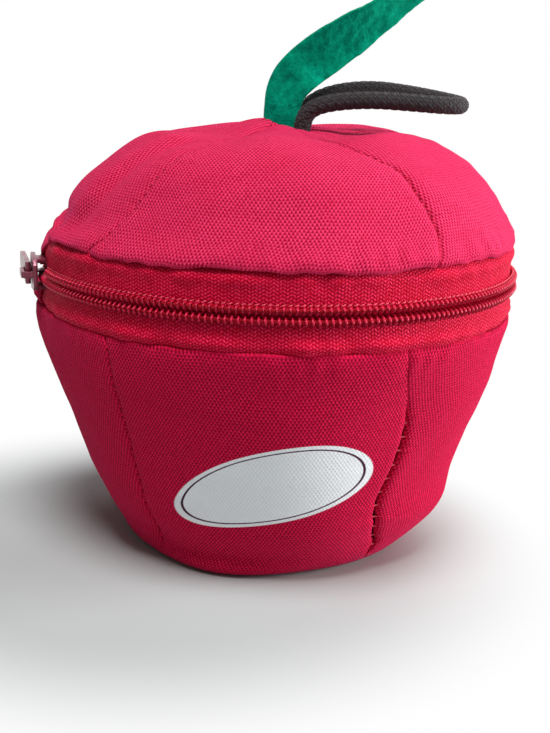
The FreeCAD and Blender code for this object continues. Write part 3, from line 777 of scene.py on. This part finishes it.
def shown(kind, number, t):
    """How plainly a seam is drawn in, along its way from the rim."""
    is_right = number % len(PANELS) == RIGHT_SEAM
    if kind == "cup":
        faint = 0.7 * (1 - step(t, 0.10, 0.20)) if is_right else 0.3
        return (1 - faint) * (1 - step(t, 0.56, 0.64))
    return 1 - 0.85 * step(t, 0.36, 0.58) if is_right else 1 - 0.6 * step(t, 0.55, 0.85)


def crown_folds(theta, t):
    """Pleats and the raised collar round the crown, and a hollow to the right of it."""
    a = np.radians(theta)
    pleats = 0.20 * step(t, 0.70, 0.88) * np.cos(a * 9 + 3 * np.sin(a * 2))
    raised = COLLAR * collar(theta) * step(t, 0.74, 1.0)
    hollow = 0.5 * hill(turn_from(theta, -40), 38) * step(t, 0.62, 0.78) * (1 - 0.6 * step(t, 0.9, 1.0))
    return pleats + raised - hollow


def left_fold(theta, t, r):
    """A valley down the lid's left panel, with a ridge beside it."""
    aside = r * np.radians(theta - np.interp(t, *zip(*VALLEY)))
    valley = 1.2 * hill(aside, 3.0) * within(t, 0.0, 0.10, 0.5, 0.75)
    ridge = 0.7 * hill(aside + 6.0, 3.5) * within(t, 0.0, 0.15, 0.5, 0.75)
    return ridge - valley


def lid_offset(number, u, theta, t, r, low, high):
    """How far the lid's cloth stands out of its outline; low and high are the ways to the two seams."""
    a = np.radians(theta)
    spot = polar(r, theta, 100 * t)
    d = 1.1 * step(t, 0.02, 0.28) * (1 - 0.7 * step(t, 0.5, 0.9)) * (0.38 - u * u)
    pucker = np.sin(60 * t + 2.0 * np.sin(t * 31) + number)
    for way, seam in ((low, number), (high, number + 1)):
        d += shown("lid", seam, t) * (0.12 * np.exp(-way / 4.0) * pucker - 0.4 * hill(way, 1.3))
    d += 0.50 * wobble(spot, 34.0, 3) * step(t, 0.03, 0.2)
    d += 0.13 * wobble(spot, 11.0, 4)
    d += crown_folds(theta, t)
    gather = (1 - step(t, 0.0, 0.14)) * step(t, 0.0, 0.03)
    d += 0.22 * gather * np.sin(a * 47 + 3 * np.sin(a * 11))
    if PANELS[number] == "front":
        d += 0.75 * hill(low, 2.4) * within(t, 0.03, 0.12, 0.6, 0.8)
    if PANELS[number] == "left":
        d += left_fold(theta, t, r)
    return d - dent(theta) * hill(t - 0.05, 0.06)


def cup_offset(number, u, theta, t, r, low, high):
    """How far the cup's cloth stands out of its outline."""
    a = np.radians(theta)
    spot = polar(r, theta, 100 * t)
    wall = within(t, 0.02, 0.18, 0.52, 0.62)
    d = 0.8 * wall * (0.38 - u * u)
    pucker = np.sin(80 * t + 2.0 * np.sin(t * 27) + number)
    for way, seam in ((low, number), (high, number + 1)):
        d += 0.12 * wall * np.exp(-way / 4.0) * pucker
        d -= 0.4 * shown("cup", seam, t) * hill(way, 1.2)
    d += 0.45 * wobble(spot, 38.0, 8) * wall
    d += 0.10 * wobble(spot, 12.0, 9) * wall
    # A bulge below the zip's end, and a fold low on the right
    d += 2.2 * hill(turn_from(theta, 184), 13) * (1 - step(t, 0.05, 0.17))
    d += 0.4 * hill(turn_from(theta, -12), 28) * hill(t - 0.50, 0.035)
    gather = (1 - step(t, 0.0, 0.09)) * step(t, 0.0, 0.02)
    return d + 0.15 * gather * np.sin(a * 53 + 3 * np.sin(a * 13))


class Half:
    """The cloth of the lid or the cup: an outline turned about the axis, with panels between seams."""

    def __init__(self, kind, outline, seams, sign, offset):
        self.kind = kind
        self.line, self.length = resample(outline, 600)
        self.seams = [resample(seam, 200)[0].T for seam in seams]
        way = unit(np.gradient(self.line, axis=0))
        self.normal = np.column_stack([way[:, 1], -way[:, 0]]) * sign
        self.offset = offset

    def outline_at(self, t):
        """Radius, height and the two parts of the normal."""
        x = np.clip(t, 0, 1) * (len(self.line) - 1)
        i = np.arange(len(self.line))
        return [np.interp(x, i, column) for column in (*self.line.T, *self.normal.T)]

    def seam(self, number, t):
        return np.interp(t, *self.seams[number % len(PANELS)])

    def gape(self, number, t):
        """Width of the slit where the seam to the right of the cup's front panel has come open."""
        if self.kind == "lid" or number % len(PANELS) != RIGHT_SEAM:
            return np.zeros_like(t)
        return within(t, 0.15, 0.24, 0.58, 0.64)

    def edges(self, number, t):
        """Angles of a panel's two edges."""
        r = np.maximum(self.outline_at(t)[0], 5.0)
        low = self.seam(number, t)
        high = self.seam(number + 1, t)
        high = high + np.where(high < low, 360.0, 0.0)
        after, before = [np.degrees(self.gape(n, t) / 2 / r) for n in (number, number + 1)]
        return low + after, high - before

    def settle(self, points):
        """Leans the soft half sideways, away from the zip that holds its rim."""
        z = points[..., 2]
        if self.kind == "lid":
            points[..., 2] += LID_TILT * points[..., 0] * step(z, *TILT_HEIGHTS)
        points[..., 0] += np.interp(z, *zip(*LEANS[self.kind]))
        if self.kind == "cup":
            points[..., 2] = np.maximum(z, BASE_UP)
        return points

    def foot(self, theta, t):
        """How far the front edge of the cup's base is pulled out of round."""
        if self.kind == "lid":
            return 0.0
        return 3.2 * hill(turn_from(theta, -106), 24) * within(t, 0.57, 0.64, 0.66, 0.76)

    def hem(self, theta, t):
        """Rise and fall of the folded edge at the rim."""
        a = np.radians(theta)
        wave = np.sin(7 * a + 1) + 0.6 * np.sin(17 * a) + 0.5 * np.sin(41 * a + 2 * np.sin(9 * a))
        return (0.32 if self.kind == "lid" else 0.16) * wave * (1 - step(t, 0.0, 0.12))

    def surface(self, number, u, t, depth=0.0):
        """Points on a panel, u across it and t from its rim, at a depth under its outer face."""
        u, t = np.broadcast_arrays(np.asarray(u, float), np.asarray(t, float))
        r, z, nr, nz = self.outline_at(t)
        low, high = self.edges(number, t)
        theta = low + (high - low) * u
        span = np.maximum(r, 3.0) * np.radians(high - low)
        d = self.offset(number, 2 * u - 1, theta, t, r, span * u, span * (1 - u))
        seam = np.where(u < 0.5, shown(self.kind, number, t), shown(self.kind, number + 1, t))
        edge = np.clip(1 - span * np.minimum(u, 1 - u) / EDGE_WIDTH, 0, 1) ** 2
        d = d - EDGE_DEPTH * edge * seam - depth
        r = r + nr * d + self.foot(theta, t)
        return self.settle(polar(r, theta, z + nz * d + self.hem(theta, t))), theta


LID = Half("lid", LID_LINE, LID_SEAMS, 1, lid_offset)
CUP = Half("cup", CUP_LINE, CUP_SEAMS, -1, cup_offset)


def make_panel(half, number):
    """One panel, with its points closer together near the seams."""
    u = np.linspace(0, 1, PANEL_COLUMNS + 1)
    u = (0.55 * u + 0.45 * (0.5 - 0.5 * np.cos(math.pi * u)))[:, None]
    t = np.linspace(0, 1, PANEL_ROWS + 1)[None, :]
    outer, theta = half.surface(number, u, t)
    inner, _ = half.surface(number, u, t, CLOTH)
    r = half.outline_at(t)[0]
    flat = grid(r * np.radians(theta - FLAT_ANGLES[half.kind][number]), -t * half.length)
    # The lid's panels take the copy of the canvas with the painted sheen
    look = LID_SHEEN_CANVAS if half is LID else PRINTED if PANELS[number] == "front" else CANVAS
    piece = make_sheet("%s_cloth_%s" % (half.kind, PANELS[number]), outer, inner, look, flat)
    wear(piece, half.kind, "canvas", "%s_panel_%s" % (half.kind, PANELS[number]))


for half in (LID, CUP):
    for number in range(len(PANELS)):
        make_panel(half, number)


# Stitches on the seams

STITCH_HALF = 0.36
STITCH_ASIDE = 0.42
# Threads across a seam, as points (aside, way along, lift)
WHIP_BOW = [(-1.3, 0.010, 0.0), (-0.6, 0.004, 0.12), (0.4, -0.004, 0.06)]
LADDER_BOW = [(-1.1, 0.004, 0.05), (-0.15, 0.0, -0.25), (0.15, 0.0, -0.25), (1.0, -0.004, 0.05)]


def seam_line(half, number, t, aside, lift):
    """Points beside a seam, aside millimetres to the right of it, lifted off the cloth."""
    panel = number if aside > 0 else number - 1
    low, high = half.edges(panel, t)
    span = np.maximum(half.outline_at(t)[0], 3.0) * np.radians(high - low)
    share = np.abs(aside) / span
    return half.surface(panel, share if aside > 0 else 1 - share, t, -lift)[0]


def spread(half, first, last, pitch):
    """Places along a seam, a pitch apart, as ways from the rim."""
    return np.arange(first, last, pitch / half.length)


def make_seam_stitches(half, last):
    """A row of small stitches on each side of every seam, up to the open slit."""
    reach = STITCH_HALF / half.length
    rows = []
    for number in range(len(PANELS)):
        for t in spread(half, 0.03, last, 1.4 if number == RIGHT_SEAM else 1.7):
            if half.gape(number, np.array([t]))[0] > 0.05:
                continue
            bit = np.array([t - reach, t, t + reach])
            rows += [seam_line(half, number, bit, aside, 0.02) for aside in (-STITCH_ASIDE, STITCH_ASIDE)]
    wear(tubes("seam_stitches_" + half.kind, rows, 0.10, SEWING, sides=5), half.kind, "canvas")


def bridges(half, number, places, bow, count):
    """Paths of threads that cross a seam at the given places."""
    paths = []
    for t in places:
        points = [seam_line(half, number, np.array([t + lean]), aside, lift)[0]
                  for aside, lean, lift in bow]
        paths.append(resample(points, count)[0])
    return paths


make_seam_stitches(LID, 0.82)
make_seam_stitches(CUP, 0.60)
whip = bridges(LID, 0, spread(LID, 0.06, 0.62, 2.1), WHIP_BOW, 6)
wear(tubes("whip_stitches", whip, 0.14, LID_THREAD, sides=5), "lid", "canvas")
ladder = bridges(CUP, RIGHT_SEAM, spread(CUP, 0.20, 0.62, 3.7), LADDER_BOW, 8)
wear(tubes("ladder_stitches", ladder, 0.20, THREAD, sides=6), "cup", "canvas")


# The zip: tapes, coils and their stitching. Side 1 is the upper half, side -1 the lower.

HALF_NAMES = {1: "upper", -1: "lower"}
HALF_BODIES = {1: "lid", -1: "cup"}
TAPE_SPAN = (167.0, 487.0)
TAPE_THICK = 0.5
# Each tape's outline from the chain to its edge behind the panels, as (radius, height)
TAPE_LINES = {
    1: [(57.0, 67.30), (57.0, 69.0), (57.1, 72.0), (57.5, 74.0), (57.0, 75.4), (55.8, 76.5), (54.3, 77.6),
        (53.0, 79.2)],
    -1: [(57.0, 66.70), (57.0, 65.0), (57.2, 62.4), (57.8, 60.2), (57.1, 58.8), (55.8, 57.6), (54.9, 56.2),
         (54.2, 54.6)],
}
COIL_PITCH = math.degrees(1.4 / 58.0)
COIL_SPANS = {1: (202.3, 451.7), -1: (188.3, 465.7)}
# One loop of the coil, as (radius, way from the middle of the chain), its lean and its thickness
COIL_SHAPE = [
    (57.2, 1.85), (57.95, 1.82), (58.40, 1.45), (58.45, 1.08), (58.1, 0.72), (57.5, 0.42), (57.1, 0.1),
    (57.0, -0.2),
]
COIL_LEAN = 0.10
COIL_WIRE = 0.33
# The filler cord, darker red than the loops as painted shade inside the coil, and the row of stitches, as
# (radius, way from the middle of the chain, thickness)
FILLER = (57.65, 1.15, 0.55)
COIL_STITCH = (57.66, 2.3, 0.17)


def make_tape(side):
    """A tape that lies flat by the chain and under its panels, and is slightly wavy between."""
    line, length = resample(TAPE_LINES[side], 30)
    theta = np.linspace(*TAPE_SPAN, 400)[:, None]
    a = np.radians(theta)
    r, z = [column[None, :] * np.ones_like(theta) for column in line.T]
    s = np.linspace(0, length, len(line))[None, :]
    if side > 0:
        r = r - dent(theta) * step(s, *DENT_REACH)
    spot = polar(r, theta, z)
    d = 0.28 * wobble(spot, 13.0, 21 + side) + 0.25 * wobble(spot, 40.0, 23 + side)
    d = d + 0.16 * np.sin(a * 34.5 + 2 * np.sin(a * 9))
    r = r + d * within(s, 4.0, 6.6, 9.0, 10.4)
    outer, inner = [polar(r - depth, theta, z) for depth in (0.0, TAPE_THICK)]
    tape = make_sheet("tape_" + HALF_NAMES[side], outer, inner, TAPE, grid(HINGE_RADIUS * a, s))
    wear(tape, HALF_BODIES[side], "zip_tape", "zip_tape_" + HALF_NAMES[side])


def make_coil(side):
    """Nylon loops on a filler cord, with a row of slanting stitches that holds them to the tape."""
    start, end = COIL_SPANS[side]
    line, _ = resample(COIL_SHAPE, 11)
    lean = np.linspace(COIL_LEAN, -COIL_LEAN, len(line)) * COIL_PITCH
    k = np.linspace(-1, 1, 5)
    sewn_r, sewn_up, sewn_thick = COIL_STITCH
    core_r, core_up, core_thick = FILLER
    loops, dashes = [], []
    for at in np.arange(start + (0 if side > 0 else COIL_PITCH / 2), end, COIL_PITCH):
        loops.append(polar(line[:, 0], at + lean, ZIP_UP + side * line[:, 1]))
        slant = ZIP_UP + side * sewn_up + 0.22 * k
        dashes.append(polar(sewn_r - 0.2 * k * k, at + 0.36 * COIL_PITCH * k, slant))
    core = [polar(core_r, np.linspace(start, end, 420), ZIP_UP + side * core_up)]
    half, body = HALF_NAMES[side], HALF_BODIES[side]
    coil = tubes("coil_" + half, loops, COIL_WIRE, COIL, sides=7)
    # One thread on both rows, but the upper row uses the bright red thread and the lower row the dark seam
    # thread: painted highlight above, painted shade below
    sewn = tubes("coil_stitches_" + half, dashes, sewn_thick, THREAD if side > 0 else SEWING, sides=5)
    filler = tubes("coil_filler_" + half, core, core_thick, SHADED_CORE, sides=8)
    wear(coil, body, "zip_coil", "zip_coil_" + half)
    wear(sewn, body, "zip_coil")
    wear(filler, body, "zip_coil")


for side in (1, -1):
    make_tape(side)
    make_coil(side)


# Hinge tab, and the two flaps of canvas that cover the ends of the tapes

HINGE_SPAN = (126.0, 170.0)
HINGE_THICK = 1.0
# Each flap: heights of its edges by the zip and at the seam, the angles where both end, and its bulge
FLAPS = {1: (67.4, 77.2, 184.5, 204.0, 0.6), -1: (66.6, 57.2, 184.5, 198.0, 1.9)}
FLAP_START = 160.0
FLAP_LIFT = 0.7
FLAP_THICK = 0.8


def make_hinge():
    """One strip of canvas from behind the cup's panels to behind the lid's."""
    upper, _ = resample(TAPE_LINES[1], 24)
    lower, _ = resample(TAPE_LINES[-1], 24)
    line = np.vstack([lower[::-1], [[57.15, ZIP_UP]], upper])
    theta = np.linspace(*HINGE_SPAN, 56)[:, None]
    s = ways(line)[None, :]
    r = line[None, :, 0] + 0.25 * np.ones_like(theta)
    z = line[None, :, 1] * np.ones_like(theta)
    r = r + 0.25 * wobble(polar(r, theta, z), 14.0, 31)
    outer, inner = [polar(r - depth, theta, z) for depth in (0.0, HINGE_THICK)]
    flat = grid(HINGE_RADIUS * np.radians(theta - HINGE_ANGLE), s)
    tab = make_sheet("hinge_cloth", outer, inner, CANVAS, flat)
    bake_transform(tab)
    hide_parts("hinge_tab_upper", "hinge_tab_lower")


def make_flap(side):
    """A puffed flap, v from the zip to the seam and u from its end to its start."""
    near, far, near_end, far_end, bulge = FLAPS[side]
    v = np.linspace(0, 1, 24)[:, None]
    u = np.linspace(0, 1, 48)[None, :]
    theta = (near_end + (far_end - near_end) * v) * (1 - u) + FLAP_START * u
    z = near + (far - near) * v + 0 * u
    base = np.interp(z[:, 0], *zip(*sorted((b, a) for a, b in TAPE_LINES[side])))[:, None]
    puff = np.sin(np.clip(v * 0.85 + 0.12, 0, 1) * math.pi)
    puff = puff * step(u, 0.0, 0.25) * (1 - 0.7 * step(u, 0.55, 1.0))
    r = base + FLAP_LIFT + bulge * puff + 0.15 * wobble(polar(base + 0 * u, theta, z), 9.0, 51)
    if side > 0:
        r = r - dent(theta) * step(z - near, *DENT_REACH)
    outer, inner = [polar(r - depth, theta, z).transpose(1, 0, 2) for depth in (0.0, FLAP_THICK)]
    flat = grid(HINGE_RADIUS * np.radians(theta), z).transpose(1, 0, 2)
    # The upper flap takes the lid's copy of the canvas, with its painted sheen
    look = LID_SHEEN_CANVAS if side > 0 else CANVAS
    flap = make_sheet("hinge_flap_" + HALF_NAMES[side], outer, inner, look, flat)
    wear(flap, HALF_BODIES[side], "canvas")


make_hinge()
for side in (1, -1):
    make_flap(side)


# Slider, pull tab and stops

def rounded_copy(node, name, body, width):
    """A lacquered copy of a solid, with its edges rounded."""
    piece = add(name, nodes[node].data.copy())
    paint(piece.data, METAL)
    weld = piece.modifiers.new("weld", "WELD")
    weld.merge_threshold = 0.00001
    bevel = piece.modifiers.new("bevel", "BEVEL")
    bevel.width = width * MM
    bevel.segments = 3
    bevel.limit_method = "ANGLE"
    bevel.angle_limit = math.radians(35)
    piece.data.polygons.foreach_set("use_smooth", [True] * len(piece.data.polygons))
    wear(piece, body, "zip_metal", node)


rounded_copy("zip_slider", "slider_cast", "slider", 0.25)
rounded_copy("pull_tab", "pull_tongue", "tab", 0.22)
paint(nodes["zip_stop_upper"].data, METAL)
paint(nodes["zip_stop_lower"].data, METAL)


# Crown and leaf

CROWN_RINGS = 14
CROWN_COLUMNS = 96
CROWN_UP = 99.8
CROWN_DEPTH = 4.0
LEAF_LINE = [
    (-0.1, 0.0, 100.3), (0.0, 0.0, 105.3), (1.1, 0.0, 110.4), (4.3, 0.0, 114.8), (11.7, 0.0, 120.7),
    (20.7, 0.0, 127.0), (30.6, 0.0, 133.8), (40.4, 0.0, 139.5),
]
# The leaf's width, as (share of its length, width)
LEAF_WIDTH = [
    (0.0, 8.2), (0.10, 8.7), (0.22, 10.2), (0.36, 11.0), (0.55, 11.2), (0.72, 9.8), (0.88, 6.4), (1.0, 1.2),
]
LEAF_TWIST = 45.0
LEAF_HALF_THICK = 0.80
LEAF_ROWS = 110
LEAF_COLUMNS = 31


def disc_faces(columns, rings):
    """Faces of a thick disc whose columns hold the points of its top and then of its underside."""
    size = rings * 2
    faces = []
    for i in range(columns):
        here, ahead = i * size, (i + 1) % columns * size
        for j in range(rings - 1):
            k = rings + j
            faces.append((here + j, here + j + 1, ahead + j + 1, ahead + j))
            faces.append((ahead + k, ahead + k + 1, here + k + 1, here + k))
        faces.append((here + rings - 1, here + size - 1, ahead + size - 1, ahead + rings - 1))
    faces.append(tuple(i * size for i in reversed(range(columns))))
    faces.append(tuple(i * size + rings for i in range(columns)))
    return faces


def make_crown():
    """The gathered middle of the lid, drawn up round the roots of the leaf and the stem."""
    r = np.linspace(0.3, 8.2, CROWN_RINGS)[None, :]
    theta = np.linspace(0, 360, CROWN_COLUMNS, endpoint=False)[:, None]
    pleat = np.cos(np.radians(theta) * 9 + 1.5 * np.sin(np.radians(theta) * 3))
    z = CROWN_UP + COLLAR * collar(theta) * step(r, 1.0, 6.5)
    z = z + 0.12 * pleat * step(r, 2.0, 5.0) - 1.2 * step(r, 6.3, 8.2)
    top = polar(r, theta, z) + [LEANS["lid"][-1][1], 0, 0]
    points = np.concatenate([top, top - [0, 0, CROWN_DEPTH]], 1).reshape(-1, 3)
    # The crown takes the lid's copy of the canvas, with its painted sheen
    crown = make("crown_cloth", points, disc_faces(CROWN_COLUMNS, CROWN_RINGS), LID_SHEEN_CANVAS, points[:, :2])
    wear(crown, "lid", "canvas", "crown_gather")


def leaf_sides(line, t):
    """Directions across the leaf and out of its face, which turn along its length."""
    way = unit(np.gradient(line, axis=0))
    twist = np.radians(LEAF_TWIST) * step(t, 0.20, 0.70)
    flat = unit(np.cross(way, [0, -1.0, 0]))
    across = np.cos(twist)[:, None] * flat + np.sin(twist)[:, None] * np.cross(way, flat)
    return across[:, None], np.cross(across, way)[:, None]


def make_leaf():
    """A thick felt leaf that stands in the crown, bends to the right and curls along its length."""
    line, length = resample(LEAF_LINE, LEAF_ROWS)
    t = np.linspace(0, 1, LEAF_ROWS)
    wide = np.interp(t, *zip(*LEAF_WIDTH))
    across, out = leaf_sides(line, t)
    u = np.linspace(-1, 1, LEAF_COLUMNS)[None, :]
    curl = (0.9 * step(t, 0.0, 0.25) * (1 - 0.5 * t))[:, None] * (u * u - 0.4) * (wide[:, None] / 9)
    middle = line[:, None] + across * (u * wide[:, None] / 2)[..., None] + out * curl[..., None]
    fuzz = 0.10 * wobble(middle, 2.6, 41) + 0.18 * wobble(middle, 9.0, 42)
    thick = LEAF_HALF_THICK * np.sqrt(np.clip(1 - np.abs(u) ** 6, 0.12, 1))
    thick = thick * np.clip((1.02 - t[:, None]) * 9, 0.35, 1)
    front = middle + out * (thick + fuzz)[..., None]
    back = middle - out * (thick - fuzz)[..., None]
    points = np.concatenate([front, back[:, ::-1]], 1).reshape(-1, 3)
    leaf = make("leaf_felt", points, tube_faces(LEAF_ROWS, 2 * LEAF_COLUMNS), FELT)
    wear(leaf, "lid", "felt", "leaf")


make_crown()
make_leaf()


# Inside: tiles with their letters, and the folded leaflet

LETTER_SIZE = 11.0
INK_THICK = 0.02
# The leaflet's outer radius and height at its lower and upper edges, its angles and its layers
LEAFLET_LOW = (43.3, 18.6)
LEAFLET_HIGH = (52.9, 49.0)
LEAFLET_INSET = 1.0
LEAFLET_SPAN = (27.0, 93.0)
LEAFLET_LAYERS = 4
LAYER_STEP = 0.19
PAPER_HALF = 0.05


def loose_parts(mesh):
    """Points of each separate solid in a node, in millimetres."""
    points = mesh_points(mesh)
    _, same = np.unique(np.round(points, 3), axis=0, return_inverse=True)
    same = same.ravel()
    group = np.arange(same.max() + 1)
    ends = same[np.array([e.vertices[:] for e in mesh.edges])]
    while True:
        low = np.minimum(group[ends[:, 0]], group[ends[:, 1]])
        fresh = group.copy()
        np.minimum.at(fresh, ends[:, 0], low)
        np.minimum.at(fresh, ends[:, 1], low)
        fresh = fresh[fresh]
        if np.array_equal(fresh, group):
            break
        group = fresh
    return [points[group[same] == g] for g in np.unique(group)]


def letter_mesh(letter):
    """Points and faces of a letter, about its own middle."""
    curve = bpy.data.curves.new("letter", "FONT")
    curve.body = letter
    curve.size = LETTER_SIZE * MM
    curve.align_x = "CENTER"
    curve.align_y = "CENTER"
    curve.extrude = INK_THICK * MM
    points, faces = read_curve(curve)
    return points - (points.max(0) + points.min(0)) / 2, faces


def tile_turn(tile, middle):
    """Matrix that turns a letter as its tile lies, from the place of one corner of the tile's top."""
    top = tile[tile[:, 2] > tile[:, 2].max() - 0.01]
    corner = top[np.argmax(top[:, 0] + 0.001 * top[:, 1])]
    turn = math.atan2(corner[1] - middle[1], corner[0] - middle[0]) - math.pi / 4
    c, s = math.cos(turn), math.sin(turn)
    return np.array([[c, s, 0], [-s, c, 0], [0, 0, 1]])


def make_letters(node_name):
    """The letters printed on all tiles of one node."""
    points, faces = letter_mesh(node_name.rsplit("_", 1)[1].upper())
    verts, joined = [], []
    for tile in loose_parts(nodes[node_name].data):
        middle = (tile.max(0) + tile.min(0)) / 2
        base = len(points) * len(verts)
        spot = [middle[0], middle[1], tile[:, 2].max() + INK_THICK]
        verts.append(points @ tile_turn(tile, middle) + spot)
        joined += [tuple(base + i for i in face) for face in faces]
    wear(make(node_name + "_print", np.vstack(verts), joined, INK), "cup", "tile")


def make_leaflet():
    """Four layers of one long sheet, folded to and fro and curled against the wall of the cup."""
    path = []
    for layer in range(LEAFLET_LAYERS):
        depth = layer * LAYER_STEP
        ends = [(depth, 0.02), (depth + 0.03, 0.5), (depth, 0.98)]
        path += ends if layer % 2 == 0 else ends[::-1]
    line, _ = resample(path, 90)
    depth, share = line[:, 0], np.clip(line[:, 1], 0, 1)
    (low, lowest), (high, highest) = LEAFLET_LOW, LEAFLET_HIGH
    z = lowest + (highest - lowest) * share
    r = low + (high - low) * share - LEAFLET_INSET + depth
    theta = np.linspace(*LEAFLET_SPAN, 60)[:, None]
    outer, inner = [polar(r[None, :] + half, theta, z[None, :]) for half in (PAPER_HALF, -PAPER_HALF)]
    piece = make_sheet("leaflet_paper", outer, inner, PAPER)
    wear(piece, "cup", "paper", "rules_leaflet")


for name in sorted(nodes):
    if name.startswith("letter_tiles_"):
        paint(nodes[name].data, TILE)
        make_letters(name)
make_leaflet()
